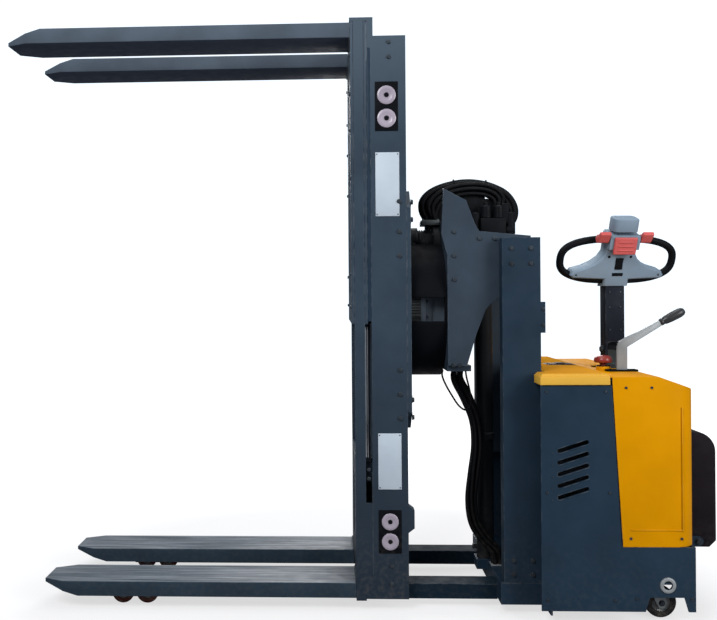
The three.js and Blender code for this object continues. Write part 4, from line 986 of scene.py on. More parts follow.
@dataclass
class Hoses:
    """The hose bundle over the carriage, the hoses that hang below it, and a slack cable.

    Attributes:
        arch, hanging: the bundle's and the hanging hoses' routes, as in the CAD source.
        loop: route of the thinner hoses under the arch, from the valve bank to the motor.
        cable: the slack cable's route under the carriage's sill.
        arch_pitch, hanging_pitch: distance from the middle hose to the others.
        arch_ends: height where the bundle leaves the motor's block and the beam's.
        motor_block, beam_block: the two blocks that the bundle ends in.
        loop_shifts: name of each thinner hose, its shift across the route and along y.
        loop_ease: how far those shifts fade at the ends.
        hanging_radii: radius of each hanging hose, the middle one last.
        twist, wander: the hanging hoses' slow turn in radians, and how far they part.
        blend_ends: two heights on the hanging hoses; not used.
    """

    arch: tuple[Point, ...] = (
        (276.0, 0.0, 1298.3), (276, 0, 1328), (264, 0, 1356), (266, 0, 1386), (292, 0, 1412),
        (336, 0, 1431), (396, 0, 1443), (454, 0, 1441), (508, 0, 1426), (552, 0, 1400),
        (576, 0, 1358), (568, 0, 1318), (528, 0, 1302), (486, 0, 1284), (486, 0, 1245.3),
    )
    hanging: tuple[Point, ...] = (
        (364, -92, 789.7), (364, -92, 750), (394, -92, 690), (424, -92, 610), (430, -92, 520),
        (418, -92, 420), (410, -92, 330), (420, -92, 250), (454, -92, 190), (490, -92, 150),
        (498, -92, 125), (498, -92, 100.3),
    )
    loop: tuple[Point, ...] = (
        (504, 0, 1352), (512, 0, 1376), (500, 0, 1396), (466, 0, 1409), (412, 0, 1411),
        (356, 0, 1400), (318, 0, 1378), (302, 0, 1348), (300, 0, 1318),
    )
    cable: tuple[Point, ...] = (
        (306, -150, 789.6), (304, -150, 770), (314, -150, 742), (336, -150, 702),
        (360, -149, 666), (384, -147, 650), (402, -147, 668), (400, -148, 710),
        (388, -150, 762), (384, -150, 789.6),
    )
    arch_radius: float = 7.7
    arch_pitch: float = 15.9
    arch_ends: Span = (1317.0, 1269.0)
    motor_block: Block = ((248, 312), (-40, 40), (1298.5, 1318))
    beam_block: Block = ((458, 512), (-27, 27), (1245.5, 1270))
    screw_x: Span = (254, 306)
    screw_y: Span = (-34, 34)
    loop_radius: float = 7.2
    loop_shifts: tuple[tuple[str, float, float], ...] = (
        ("a", 0.0, -30.0), ("b", -17.0, -34.0), ("c", -34.0, -28.0), ("d", -8.0, 30.0),
        ("e", -26.0, 34.0),
    )
    loop_ease: float = 0.9
    hanging_radii: tuple[float, ...] = (7.5, 7.0, 7.5, 6.5, 7.0, 6.0)
    hanging_pitch: float = 14.2
    twist: float = 1.6
    wander: float = 0.12
    blend_ends: Span = (130.0, 770.0)
    cable_radius: float = 3.2

    def build(self) -> None:
        """Makes every hose and the blocks that they end in."""
        ends = Shape("hose_manifolds", "carriage", Finish.PUMP)
        ends.box(*self.motor_block, 2).box(*self.beam_block, 2)
        for x, y in product(self.screw_x, self.screw_y):
            ends.socket_screw((x, y, self.motor_block[2][1]), "z", 4)
        ends.done()
        self.bundle()
        route = catmull(self.loop, 60)
        for tag, out, sideways in self.loop_shifts:
            self.cord(f"loop_hose_{tag}", beside(route, out, sideways, self.loop_ease),
                      self.loop_radius)
        self.hanging_hoses()
        self.cord("slack_cable", catmull(self.cable, 60), self.cable_radius, 10)

    def cord(self, name: str, line: Sequence[Point], radius: float, sides: int = 14,
             stands_for: tuple[str, ...] = (), hangs: bool = False) -> None:
        """Args:
            name: the hose's name.
            line: its centre line, in millimetres.
            radius: its radius.
            sides: sides of its section.
            stands_for: CAD nodes that it replaces.
            hangs: True where it reaches from the chassis to the carriage.
        """
        made = Shape(name, "carriage", Finish.HOSE, stands_for=stands_for).sweep(
            line, radius, sides).done(ride=not hangs)
        if hangs:
            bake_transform(made)

    def bundle(self) -> None:
        """Makes the bundle: a middle hose and six round it."""
        centre = catmull(self.arch, 80)
        for i, (out, sideways) in enumerate([(0.0, 0.0), *on_circle(6, self.arch_pitch, 60)]):
            line = beside(centre, out, sideways)
            half = len(line) // 2
            kept = [p for k, p in enumerate(line) if p[2] >= self.arch_ends[k >= half]]
            self.cord(f"arch_hose_{'abcdefg'[i]}", kept, self.arch_radius,
                      stands_for=() if i else ("hose_arch",))

    def hanging_hoses(self) -> None:
        """Makes the hanging hoses, which twist slowly round their middle one."""
        centre = catmull(self.hanging, 96)
        for i, radius in enumerate(self.hanging_radii):
            line = []
            for k in range(len(centre)):
                share = k / (len(centre) - 1)
                turn = math.radians(72 * i) + self.twist * share
                pitch = self.hanging_pitch if i < 5 else 0.0
                reach = pitch * (1 + self.wander * math.sin(share * math.pi * (i + 2)))
                line.append(beside(centre, reach * math.cos(turn), reach * math.sin(turn))[k])
            self.cord(f"hanging_hose_{'abcdef'[i]}", line, radius, 12,
                      () if i else ("hose_hanging",), True)


@dataclass
class Tiller:
    """The tiller: ring handle, head, controls, arm and pivot, in the head's or arm's axes.

    Attributes:
        squareness: how square the ring is, 2 for an ellipse.
        ring_step: least distance between the ring's sections.
        saddle: the red block on the head.
        rib_x, rib_y, rib_half, rib_heights: its ribs.
        slot, foot_lug: the small plate in the head's front, and the lug under it.
        lamps: places of the two round marks.
        back_y, back_screws: the head's back face, and its screws as x and z.
        front_screw: the screw in front, on both sides.
        arm_face, arm_screw_heights: the arm's screws.
        cable: route of the cable inside the arm.
        sleeve_radii, sleeve_half: the pivot sleeve's radii and half of its length.
    """

    ring_width: float = 440.0
    ring_height: float = 180.0
    ring_bottom: float = 10.0
    ring_radius: float = 13.0
    squareness: float = 2.7
    ring_step: float = 6.0
    saddle: Block = ((-41, 41), (-57, -46), (134, 196))
    rib_x: Span = (-28, 28)
    rib_y: Span = (-59.5, -55)
    rib_half: float = 2.2
    rib_heights: tuple[float, ...] = (150, 165, 180)
    slot: Block = ((-20, 20), (-27.0, -25.5), (46, 58))
    foot_lug: Block = ((54, 60), (-6, 10), (22, 32))
    lamps: Point = (40, -25.6, 118)
    back_y: float = 25.8
    back_screws: tuple[Span, ...] = ((140, 50), (30, 24), (46, 176))
    front_screw: Span = (152, 51)
    pivot_face: float = 35.2
    arm_face: Span = (20, -22.2)
    arm_screw_heights: tuple[float, ...] = (70, 150, 205)
    cable: tuple[Point, ...] = ((10, 12, 196), (11, 9, 150), (8, 7, 90), (4, 5, 50), (2, 6, 31))
    sleeve_radii: Span = (20.2, 25.4)
    sleeve_half: float = 26.0

    def build(self) -> None:
        """Makes every piece of the tiller."""
        dense = [self.around(math.tau * i / 720) for i in range(720)]
        even = [dense[0]]
        for p in dense[1:]:
            if (Vector(p) - Vector(even[-1])).length > self.ring_step:
                even.append(p)
        Shape("ring_handle", "tiller", Finish.BLACK, AXES.head, ("handle_ring",)).sweep(
            even, self.ring_radius, 20, closed=True).done()
        self.head()
        self.arm()
        inner, outer = self.sleeve_radii
        Shape("pivot_sleeve", "drive", Finish.BLACK, AXES.arm).prism(
            [*arc(outer, 0, 180, 18), *arc(inner, 180, 0, 18)], "x",
            (-self.sleeve_half, self.sleeve_half), 0.6).done()

    def around(self, turn: float) -> Point:
        """Finds a place on the ring handle's centre line.

        Args:
            turn: the angle round it, in radians.

        Returns:
            The place in the head's own axes.
        """
        power = 2 / self.squareness
        across, up = [math.copysign(abs(v) ** power, v) for v in (math.cos(turn), math.sin(turn))]
        middle = self.ring_bottom + self.ring_height / 2
        return ((self.ring_width / 2 - self.ring_radius) * across, 0.0,
                middle + (self.ring_height / 2 - self.ring_radius) * up)

    def head(self) -> None:
        """Makes the head's shell, button, wings, rocker, saddle and fittings."""
        Shape("head_shell", "tiller", Finish.GREY).copy_of("tiller_head", 3.0, 3).done()
        Shape("end_cap_button", "end_button", Finish.GREY).copy_of("end_button", 2.5, 3, 50).done()
        Shape("throttle_wings", "throttle", Finish.RED).copy_of("throttle_paddles", 2.2, 3).done()
        Shape("rocker_switch", "rocker", Finish.BLACK).copy_of("lift_rocker", 1.2, 2).done()
        saddle = Shape("head_saddle", "tiller", Finish.RED, AXES.head).box(*self.saddle, 7, 4)
        for z in self.rib_heights:
            saddle.box(self.rib_x, self.rib_y, (z - self.rib_half, z + self.rib_half), 1.8, 3)
        saddle.done()
        trim = Shape("head_trim", "tiller", Finish.BLACK, AXES.head).box(*self.slot, 1.2)
        screws = Shape("head_screws", "tiller", Finish.BOLT, AXES.head)
        lamp_x, lamp_y, lamp_z = self.lamps
        for side in (-1, 1):
            trim.rod("-y", (side * lamp_x, lamp_y, lamp_z), 5, 2.0)
            for x, z in self.back_screws:
                screws.socket_screw((side * x, self.back_y, z), "y", 3.6)
            x, z = self.front_screw
            screws.socket_screw((side * x, -self.back_y, z), "-y", 3.2)
        trim.box(*self.foot_lug, 2).done()
        screws.done()

    def arm(self) -> None:
        """Makes the arm, its pivot bolts and the cable inside it."""
        Shape("tiller_channel", "tiller", Finish.ARM).copy_of("tiller_arm", 2.5, 3).done()
        bolts = Shape("tiller_pivot_bolts", "tiller", Finish.BOLT, AXES.arm)
        x, y = self.arm_face
        for side, axis in ((1, "x"), (-1, "-x")):
            bolts.bolt((side * self.pivot_face, 0, 0), axis, 11)
            for z in self.arm_screw_heights:
                bolts.socket_screw((side * x, y, z), "-y", 3.5)
        bolts.done()
        Shape("tiller_cable", "tiller", Finish.HOSE, AXES.arm).sweep(
            catmull(self.cable, 30), 4, 10).done()


@dataclass
class HandLever:
    """The zinc hand lever with its grip and the gaiter round its slot.

    Attributes:
        pivot_z, knee_z: heights of its pivot and its knee.
        reach, rise: from the knee to the blade's end.
        grip_offset, tilt: from there to the grip's middle, and the grip's slope in degrees.
        grip: the grip's outline, as place along it and radius.
        steps: the gaiter's steps, as bottom, top and how far each is drawn in.
        slot_half: half of the gaiter's inner and outer length and width.
    """

    x: float = 903.0
    y: float = -190.0
    pivot_z: float = 740.0
    knee_z: float = 868.0
    reach: float = 122.0
    rise: float = 76.0
    half_thick: float = 6.0
    grip_offset: Span = (48.0, 26.0)
    tilt: float = 27.0
    grip: tuple[Span, ...] = (
        (0, -46), (9, -45.5), (12, -43), (12.5, -38), (11.2, -34), (14.2, -26), (15.6, -8),
        (16, 14), (15.6, 28), (13.2, 38), (8.5, 44), (0, 46),
    )
    steps: tuple[Point, ...] = ((786.2, 789.5, 0), (789.5, 792.5, 1))
    slot_half: tuple[Span, Span] = ((43, 51), (11.5, 19))

    def build(self) -> None:
        """Makes the blade, the grip and the gaiter."""
        self.blade()
        out, up = self.grip_offset
        end = Vector((self.x + self.reach + out, self.y, self.knee_z + self.rise + up))
        lean = Matrix.Rotation(-math.radians(self.tilt), 4, "Y")
        Shape("lever_grip", "hand_lever", Finish.GRIP,
              ROOT_X @ Matrix.Translation(end * MM) @ lean).lathe(self.grip, "x", steps=40).done()
        self.gaiter()

    def blade(self) -> None:
        """Makes the bent blade with its hub."""
        x, knee, pivot = self.x, self.knee_z, self.pivot_z
        end_x, end_z = x + 19 + self.reach, knee + self.rise
        outline = [(x - 18, pivot), (x - 14, pivot - 14), (x, pivot - 18), (x + 14, pivot - 14),
                   (x + 18, pivot), (x + 19, knee), (end_x, end_z), (end_x - 10, end_z + 15),
                   (x + 66, knee + 56), (x + 12, knee + 31), (x - 8, knee + 19), (x - 15, knee)]
        blade = Shape("lever_blade", "hand_lever", Finish.ZINC, stands_for=("hand_lever",))
        blade.prism(outline, "y", (self.y - self.half_thick, self.y + self.half_thick), 1.8, 3)
        blade.rod("y", (x, self.y - self.half_thick - 1.5, pivot), 13, 15, 32).done()

    def gaiter(self) -> None:
        """Makes the stepped frame round the lever's slot."""
        x, y = self.x, self.y
        (inner_x, outer_x), (inner_y, outer_y) = self.slot_half
        slot = Shape("lever_gaiter", "chassis", Finish.BLACK)
        for (low, high, drawn), side in product(self.steps, (-1, 1)):
            half = outer_x - 1 - drawn
            slot.box((x - half, x + half), (y + side * (inner_y + drawn), y + side * outer_y),
                     (low, high))
            half = outer_y - 1
            slot.box((x + side * (inner_x + drawn), x + side * outer_x), (y - half, y + half),
                     (low, high))
        slot.done()


@dataclass
class StopButton:
    """The emergency stop button and its base.

    Attributes:
        seat: the middle of its seat on the cover.
        cap, base: outlines of the mushroom and its base, as radius and height above the seat.
    """

    seat: Point = (854.0, -150.0, 786.0)
    cap: Profile = (
        (0, -14), (11, -14), (11, 22), (16, 26), (28, 27), (30.6, 30), (31, 35), (29.5, 42),
        (25, 48), (14, 51.5), (0, 52),
    )
    base: Profile = ((16.6, 14.2), (16.6, 17), (22.2, 17), (23.4, 16), (23.4, 14.2), (16.6, 14.2))

    def build(self) -> None:
        """Makes the mushroom and its base."""
        Shape("stop_mushroom", "e_stop", Finish.STOP, stands_for=("e_stop_button",)).lathe(
            self.cap, "z", self.seat, 56).done()
        Shape("stop_base", "chassis", Finish.BLACK).lathe(self.base, "z", self.seat).done()


@dataclass
class Platform:
    """The folding stand-on platform, as it stands folded up.

    Attributes:
        rib_bottom, rib_step, rib_height: places of the tread's ribs.
        tread_x, tread_half: a rib's two faces and half of its length.
        pad, foot_x, feet: the pad on its underside and its four feet, as y and z.
        hinge, hinge_y: the hinge's x and z, and where its bolts sit.
    """

    ribs: int = 12
    rib_bottom: float = 260.0
    rib_step: float = 21.0
    rib_height: float = 11.0
    tread_x: Span = (1107.2, 1108.6)
    tread_half: float = 205.0
    pad: Block = ((1192.6, 1193.8), (-190, 190), (268, 500))
    foot_x: float = 1192.8
    feet: tuple[Span, ...] = ((-150, 290), (-150, 478), (150, 290), (150, 478))
    hinge: Span = (1130.0, 228.0)
    hinge_y: float = 254.6

    def build(self) -> None:
        """Makes the slab, its tread and its hinge bolts."""
        Shape("platform_slab", "platform", Finish.MAT).copy_of("stand_on_platform", 6.0, 4).done()
        mat = Shape("platform_ribs", "platform", Finish.BLACK)
        length = (-self.tread_half, self.tread_half)
        for i in range(self.ribs):
            z = self.rib_bottom + i * self.rib_step
            mat.box(self.tread_x, length, (z, z + self.rib_height), 0.5)
        mat.box(*self.pad, 0.5)
        for y, z in self.feet:
            mat.rod("x", (self.foot_x, y, z), 11, 1.6, 28)
        mat.done()
        Shape("platform_hinge_bolts", "chassis", Finish.BOLT).both_faces(
            Shape.bolt, self.hinge_y, [self.hinge], 9).done()


@dataclass
class BodyCovers:
    """The lid, the rear cover and the chassis's side panels with their fittings.

    Attributes:
        panel_y: the side panels' outer face.
        recess, pull_plate, pull_grip: the lid's handle; recess is where a thin dark sheet of
            painted shade stands for the shaded recess.
        rib_low, rib_back: the moulded lines on the cover, as x and z.
        seam, lid_seam: the slanted joint between panel and cover, and the one under the lid.
        screw_places: the panels' and the cover's screws, as x and z.
        louvre_x, louvre_top, louvre_step: the slots' middle, the top one's height, and the step.
        louvre_half, louvre_lean: half of a lip's length and its slope.
        louvre_screw: x of a slot's screw, and how far it sits below the slot.
        lip_lift: from a slot's middle to its lips.
        tie_down, tie_rim: x and z of the tie-down hole's middle, and outline of its rim.
        beads: the chassis's weld beads.
    """

    panel_y: float = 400.0
    recess: Block = ((690, 792), (-46, 46), (795.4, 796.6))
    pull_plate: Block = ((701, 781), (-34, 34), (796.2, 798.4))
    pull_grip: Block = ((728, 760), (-20, 20), (798.0, 801.5))
    rib_low: tuple[Span, Span] = ((862, 1026), (300, 305))
    rib_back: tuple[Span, Span] = ((1022, 1027), (304, 690))
    seam: Profile = ((804.6, 784), (807.2, 784), (836.6, 252), (834.2, 252))
    lid_seam: tuple[Span, Span] = ((586, 804), (757.6, 760.2))
    screw_places: tuple[Span, ...] = (
        (602, 740), (602, 420), (602, 80), (786, 740), (798, 420), (812, 80), (862, 276),
        (1020, 276), (850, 752), (930, 752), (880, 86), (1050, 86),
    )
    louvres: int = 5
    louvre_x: float = 684.0
    louvre_top: float = 566.0
    louvre_step: float = 37.0
    louvre_half: float = 50.0
    louvre_lean: float = -18.0
    louvre_screw: Span = (618, 22)
    lip_lift: float = 8.2
    tie_down: Span = (976.0, 129.0)
    tie_rim: Profile = ((14.2, -1), (14.2, 3.6), (17, 4.2), (23, 4.0), (25, 2.6), (25, -1))
    beads: Beads = (
        ((474, 298, 100.5), (610, 298, 100.5), 2.4), ((611, 396, 50), (611, 396, 740), 2.2),
        ((486, 252, 101.2), (486, 296, 101.2), 2.2), ((608, 252, 101.2), (608, 296, 101.2), 2.2),
    )

    def build(self) -> None:
        """Makes every piece of the covers."""
        Shape("lid_shell", "chassis", Finish.LID).copy_of("battery_lid", 1.6, 3, 50).done()
        Shape("cover_shell", "chassis", Finish.COVER, smooth_angle=34).copy_of(
            "rear_cover", 3.2, 4, 48).done()
        # A thin dark sheet of painted shade stands for the shaded recess round the handle.
        Shape("lid_recess_painted_shade", "chassis", Finish.RECESS_SHADE).box(*self.recess, 0.4).done()
        Shape("lid_pull", "chassis", Finish.BLACK).box(*self.pull_plate).box(
            *self.pull_grip, 1.6, 3).done()
        self.lines()
        slots = [self.louvre_top - i * self.louvre_step for i in range(self.louvres)]
        x, drop = self.louvre_screw
        face = self.panel_y + 0.1
        Shape("panel_screws", "chassis", Finish.BOLT).both_faces(
            Shape.socket_screw, face, self.screw_places, 4.2).both_faces(
            Shape.socket_screw, face, [(x, z - drop) for z in slots], 2.0).done()
        self.louvre_lips(slots)
        weld_beads("chassis_welds", "chassis", self.beads)
        rims = Shape("tie_down_rims", "chassis", Finish.ZINC)
        x, z = self.tie_down
        for side, axis in FACING_Y:
            rims.lathe(self.tie_rim, axis, (x, side * self.panel_y, z))
        rims.done()

    def lines(self) -> None:
        """Makes the moulded lines on the cover and the dark joints round it."""
        ribs = Shape("cover_ribs", "chassis", Finish.COVER)
        seams = Shape("cover_seams", "chassis", Finish.BLACK)
        for side in (-1, 1):
            faces = (side * (self.panel_y - 0.6), side * (self.panel_y + 1.4))
            for x, z in (self.rib_low, self.rib_back):
                ribs.box(x, faces, z, 0.9, 3)
            faces = (side * (self.panel_y - 0.8), side * (self.panel_y + 0.7))
            seams.prism(self.seam, "y", faces, 0.3)
            seams.box(self.lid_seam[0], faces, self.lid_seam[1], 0.3)
        ribs.done()
        seams.done()

    def louvre_lips(self, slots: Sequence[float]) -> None:
        """Makes the lips along each louvre slot.

        Args:
            slots: the slots' heights.
        """
        lips = Shape("louvre_lips", "chassis", Finish.DARK)
        turn = Matrix.Rotation(math.radians(self.louvre_lean), 4, "Y")
        half = self.louvre_half
        for side, height, lift in product((-1, 1), slots, (self.lip_lift, -self.lip_lift)):
            middle = Vector((self.louvre_x, side * (self.panel_y + 0.6), height))
            x, y, z = middle + turn @ Vector((0, 0, lift))
            lips.box((x - half, x + half), (y - 1.0, y + 1.0), (z - 1.5, z + 1.5), 0.9, 2, turn)
        lips.done()


def mirrored(half: Profile) -> list[Span]:
    """Closes half of a wheel's section with its mirror image.

    Args:
        half: radius and place along the axis, from the bore outwards.

    Returns:
        The whole section, closed.
    """
    return [*half, *[(r, -z) for r, z in reversed(half)], half[0]]


@dataclass(frozen=True)
class Tyre:
    """A tyre with rounded shoulders, whose radius is crown."""

    radius: float
    width: float
    crown: float
    bore: float

    def section(self) -> list[Span]:
        """Outlines the tyre, as radius and place along the axis, closed."""
        half, crown = self.width / 2, self.crown
        shoulder = arc(crown, -90, 0, 5, crown - half)
        return mirrored([(self.bore, -half),
                         *[(self.radius - crown + out, along) for out, along in shoulder]])


@dataclass
class Wheels:
    """The load rollers, the casters, the guide rollers and the drive wheel.

    Attributes:
        roller_hub, caster_hub, drive_hub: half of each hub's section.
        roller_x: name and place of each roller along the leg.
        axle_plate: outline of the plate over each axle's end.
        axle_y: from a roller's middle to the leg's face.
        caster_place: the left caster's middle.
        swivel, swivel_collar: x and z of its swivel, and its collar's section.
        nut_y: from a caster's middle to its nuts.
        guide_z: name and height of each guide roller.
        guide_place: the left guide rollers' place, as x and y.
    """

    roller: Tyre = Tyre(38, 64, 4, 22)
    roller_hub: Profile = ((9.6, -30), (21.9, -30))
    roller_x: tuple[tuple[str, float], ...] = (("front", -798.0), ("rear", -714.0))
    roller_y: float = 192.5
    roller_z: float = 38.0
    axle_plate: Profile = ((0, 0), (13, 0), (13, 1.6), (11.5, 2.6), (4, 2.6), (3.6, 1.2), (0, 1.2))
    axle_y: float = 42.1
    caster: Tyre = Tyre(50, 36, 7, 30)
    caster_hub: Profile = ((8.6, -16), (12, -18), (16, -18), (18, -12), (26, -12), (29.9, -15))
    caster_place: Point = (981.0, 308.0, 50.0)
    swivel: Span = (951.0, 121.0)
    swivel_collar: Profile = ((24, 0), (30.4, 0), (30.4, 5), (24, 5), (24, 0))
    nut_y: float = 25.2
    guide: Tyre = Tyre(49.2, 33, 3, 15.6)
    guide_z: tuple[tuple[str, float], ...] = (("low", 500.0), ("high", 940.0))
    guide_place: Span = (546.5, 266.1)
    drive: Tyre = Tyre(112, 68, 9, 78)
    drive_hub: Profile = ((18.6, -32), (30, -32), (34, -22), (66, -22), (77.8, -28))

    def build(self) -> None:
        """Makes every wheel and the plates over the load rollers' axles."""
        for name, side in SIDES:
            for place, x in self.roller_x:
                self.wheel(f"load_roller_{name}_{place}", "tread", Finish.POLY, self.roller,
                           (x, side * self.roller_y, self.roller_z), self.roller_hub, 40)
            self.one_caster(name, side)
            for place, z in self.guide_z:
                self.wheel(f"guide_roller_{name}_{place}", "ring", Finish.STEEL, self.guide,
                           (self.guide_place[0], side * self.guide_place[1], z))
        self.drive_wheel()
        plates = Shape("leg_axle_plates", "chassis", Finish.BOLT)
        for side, (_, x), (way, axis) in product((-1, 1), self.roller_x, FACING_Y):
            y = side * self.roller_y + way * self.axle_y
            plates.lathe(self.axle_plate, axis, (x, y, self.roller_z), 28)
        plates.done()

    def wheel(self, body: str, part: str, finish: Finish, size: Tyre, centre: Point,
              hub: Profile = (), steps: int = 48) -> None:
        """Makes one tyre in place of its CAD node, and its hub.

        Args:
            body: the wheel's body, which is also its node's name.
            part: what the tyre is called.
            finish: its finish.
            size: its sizes.
            centre: its middle.
            hub: half of the hub's section, if it has one.
            steps: segments round the hub.
        """
        Shape(f"{body}_{part}", body, finish, stands_for=(body,)).lathe(
            size.section(), "y", centre, 60).done()
        if hub:
            Shape(f"{body}_hub", body, Finish.HUB).lathe(mirrored(hub), "y", centre, steps).done()

    def one_caster(self, name: str, side: int) -> None:
        """Makes one caster's tyre, hub, nuts and collar.

        Args:
            name: left or right.
            side: 1 for left, -1 for right.
        """
        x, y, z = self.caster_place
        self.wheel(f"caster_wheel_{name}", "tyre", Finish.TYRE, self.caster, (x, side * y, z),
                   self.caster_hub)
        nuts = Shape(f"caster_nuts_{name}", f"caster_fork_{name}", Finish.BOLT)
        for way, axis in FACING_Y:
            nuts.bolt((x, side * y + way * self.nut_y, z), axis, 8)
        x, z = self.swivel
        nuts.lathe(self.swivel_collar, "z", (x, side * y, z), 40).done()

    def drive_wheel(self) -> None:
        """Makes the drive wheel."""
        place = AXES.drive @ Matrix.Translation((0, 0, self.drive.radius * MM))
        Shape("drive_tyre", "drive_wheel", Finish.TYRE, place, ("drive_wheel",)).lathe(
            self.drive.section(), "x", steps=80).done()
        Shape("drive_hub", "drive_wheel", Finish.HUB, place).lathe(
            mirrored(self.drive_hub), "x", steps=64).done()


@dataclass
class DriveUnit:
    """The traction motor and the turntable's bolts.

    Attributes:
        foot, height: height of the motor's foot above the floor, and the motor's own.
        shell, fin_rise: the housing's radius between its fins, and how far they stand out.
        turntable_bolts: count, circle and first angle of the bolts.
    """

    foot: float = 326.6
    height: float = 215.0
    shell: float = 70.0
    fins: int = 14
    fin_step: float = 11.0
    fin_rise: float = 8.0
    turntable_bolts: Ring = (8, 112.0, 22.5)

    def build(self) -> None:
        """Makes the motor's housing and the bolts round it."""
        low, high = self.foot, self.foot + self.height
        inner, outer = self.shell, self.shell + self.fin_rise
        housing = [(0, low), (76, low)]
        for i in range(self.fins):
            z = low + 12 + i * self.fin_step
            housing += [(inner, z), (outer, z + 2), (outer, z + 6), (inner, z + 8)]
        housing += [(74, high - 35), (outer, high - 31), (outer, high - 26), (62, high - 15),
                    (62, high), (0, high)]
        Shape("motor_housing", "drive", Finish.ARM, AXES.drive, ("traction_motor",)).lathe(
            housing, "z", steps=56).done()
        bolts = Shape("drive_bolts", "drive", Finish.BOLT, AXES.drive)
        for x, y in on_circle(*self.turntable_bolts):
            bolts.bolt((x, y, low - 0.1), "z", 5)
        bolts.done()


@dataclass
class Battery:
    """The tops of the battery's cells, with their caps.

    Attributes:
        first_y, pitch: the first cell's middle and the distance between them.
        half: half of a cell's width.
        x, z: their ends along the truck, and their foot and top.
        cap_radius, cap_height: sizes of their caps.
    """

    cells: int = 6
    first_y: float = -260.0
    pitch: float = 104.0
    half: float = 44.0
    x: Span = (640, 740)
    z: Span = (728.5, 733)
    cap_radius: float = 13.0
    cap_height: float = 7.0

    def build(self) -> None:
        """Makes the cells' tops."""
        tops = Shape("battery_cells", "chassis", Finish.BLACK)
        for i in range(self.cells):
            y = self.first_y + i * self.pitch
            tops.box(self.x, (y - self.half, y + self.half), self.z, 1.5)
            tops.rod("z", (sum(self.x) / 2, y, self.z[1] - 0.5), self.cap_radius, self.cap_height)
        tops.done()


@dataclass
class Mast:
    """The mast's bolts and welds, and the lift cylinder with its ram.

    Attributes:
        face_y: the channels' outer face.
        bolt_x, bolt_z: places of the large bolts.
        tie_x, tie_z: places of the small bolts at the top tie.
        beads: the mast's weld beads.
        cylinder_x: where the lift cylinder stands.
        barrel, ram: outlines of the barrel and of the ram, as radius and height.
        port_z, port_radius, port_length: the oil port on the barrel.
    """

    face_y: float = 300.1
    bolt_x: Span = (515, 578)
    bolt_z: tuple[float, ...] = (130, 175, 1150, 1200)
    tie_x: float = 617.0
    tie_z: Span = (948, 1000)
    beads: Beads = (
        ((597, 204, 1178), (597, 248, 1178), 2.4), ((597, 204, 1234), (597, 248, 1234), 2.4),
    )
    cylinder_x: float = 473.0
    barrel: Profile = (
        (0, 100.3), (31, 100.3), (31, 526), (33, 527), (36, 529), (36, 549), (33, 551), (31, 552),
        (31, 1084), (33, 1088), (36, 1090), (36, 1127), (34, 1130), (21, 1130), (21, 592), (0, 592),
    )
    ram: Profile = (
        (0, 594), (19, 594), (20, 597), (20, 1204), (30, 1204.6), (30, 1223.6), (29, 1224.6),
        (0, 1224.6),
    )
    port_z: float = 138.0
    port_radius: float = 9.0
    port_length: float = 16.0

    def build(self) -> None:
        """Makes the bolts, the welds, the barrel and the ram."""
        Shape("mast_bolts", "chassis", Finish.BOLT).both_faces(
            Shape.bolt, self.face_y, product(self.bolt_x, self.bolt_z), 6.5).both_faces(
            Shape.bolt, self.face_y, [(self.tie_x, z) for z in self.tie_z], 5).done()
        weld_beads("mast_welds", "chassis", self.beads)
        foot = (self.cylinder_x, 0, 0)
        barrel = Shape("lift_barrel", "chassis", Finish.CYLINDER, stands_for=("lift_cylinder",))
        barrel.lathe(self.barrel, "z", foot, 56)
        barrel.rod("-x", (self.cylinder_x - 30, 0, self.port_z), self.port_radius,
                   self.port_length).done()
        Shape("lift_rod", "carriage", Finish.CHROME, stands_for=("lift_ram",)).lathe(
            self.ram, "z", foot, 56).done()


@dataclass
class ClampCylinders:
    """The two clamp cylinders, with their rods and nuts.

    Attributes:
        x, y: where the left one stands.
        rod, barrel: outlines of the rod and of the barrel, as radius and height.
        nut: height, radius and length of the rod's nut.
    """

    x: float = 44.0
    y: float = 220.0
    rod: Profile = ((0, 484.3), (9.6, 484.3), (9.8, 490), (9.8, 1028), (8.6, 1030), (0, 1030))
    barrel: Profile = (
        (10.8, 954), (22, 954), (23.2, 956), (23.2, 974), (22, 976), (22, 1509), (20, 1513),
        (0, 1513), (0, 1490), (10.8, 1490), (10.8, 954),
    )
    nut: Point = (484.4, 19, 15)

    def build(self) -> None:
        """Makes both cylinders."""
        z, radius, length = self.nut
        for name, side in SIDES:
            x, y = self.x, side * self.y
            Shape(f"clamp_chrome_{name}", "rotor", Finish.CHROME,
                  stands_for=(f"clamp_rod_{name}",)).lathe(self.rod, "z", (x, y, 0), 40).done()
            Shape(f"clamp_barrel_{name}", "clamp", Finish.CYLINDER,
                  stands_for=(f"clamp_cylinder_{name}",)).lathe(self.barrel, "z", (x, y, 0)).done()
            Shape(f"clamp_nut_{name}", "rotor", Finish.BOLT).rod(
                "z", (x, y, z), radius, length, 6, 1.0).done()


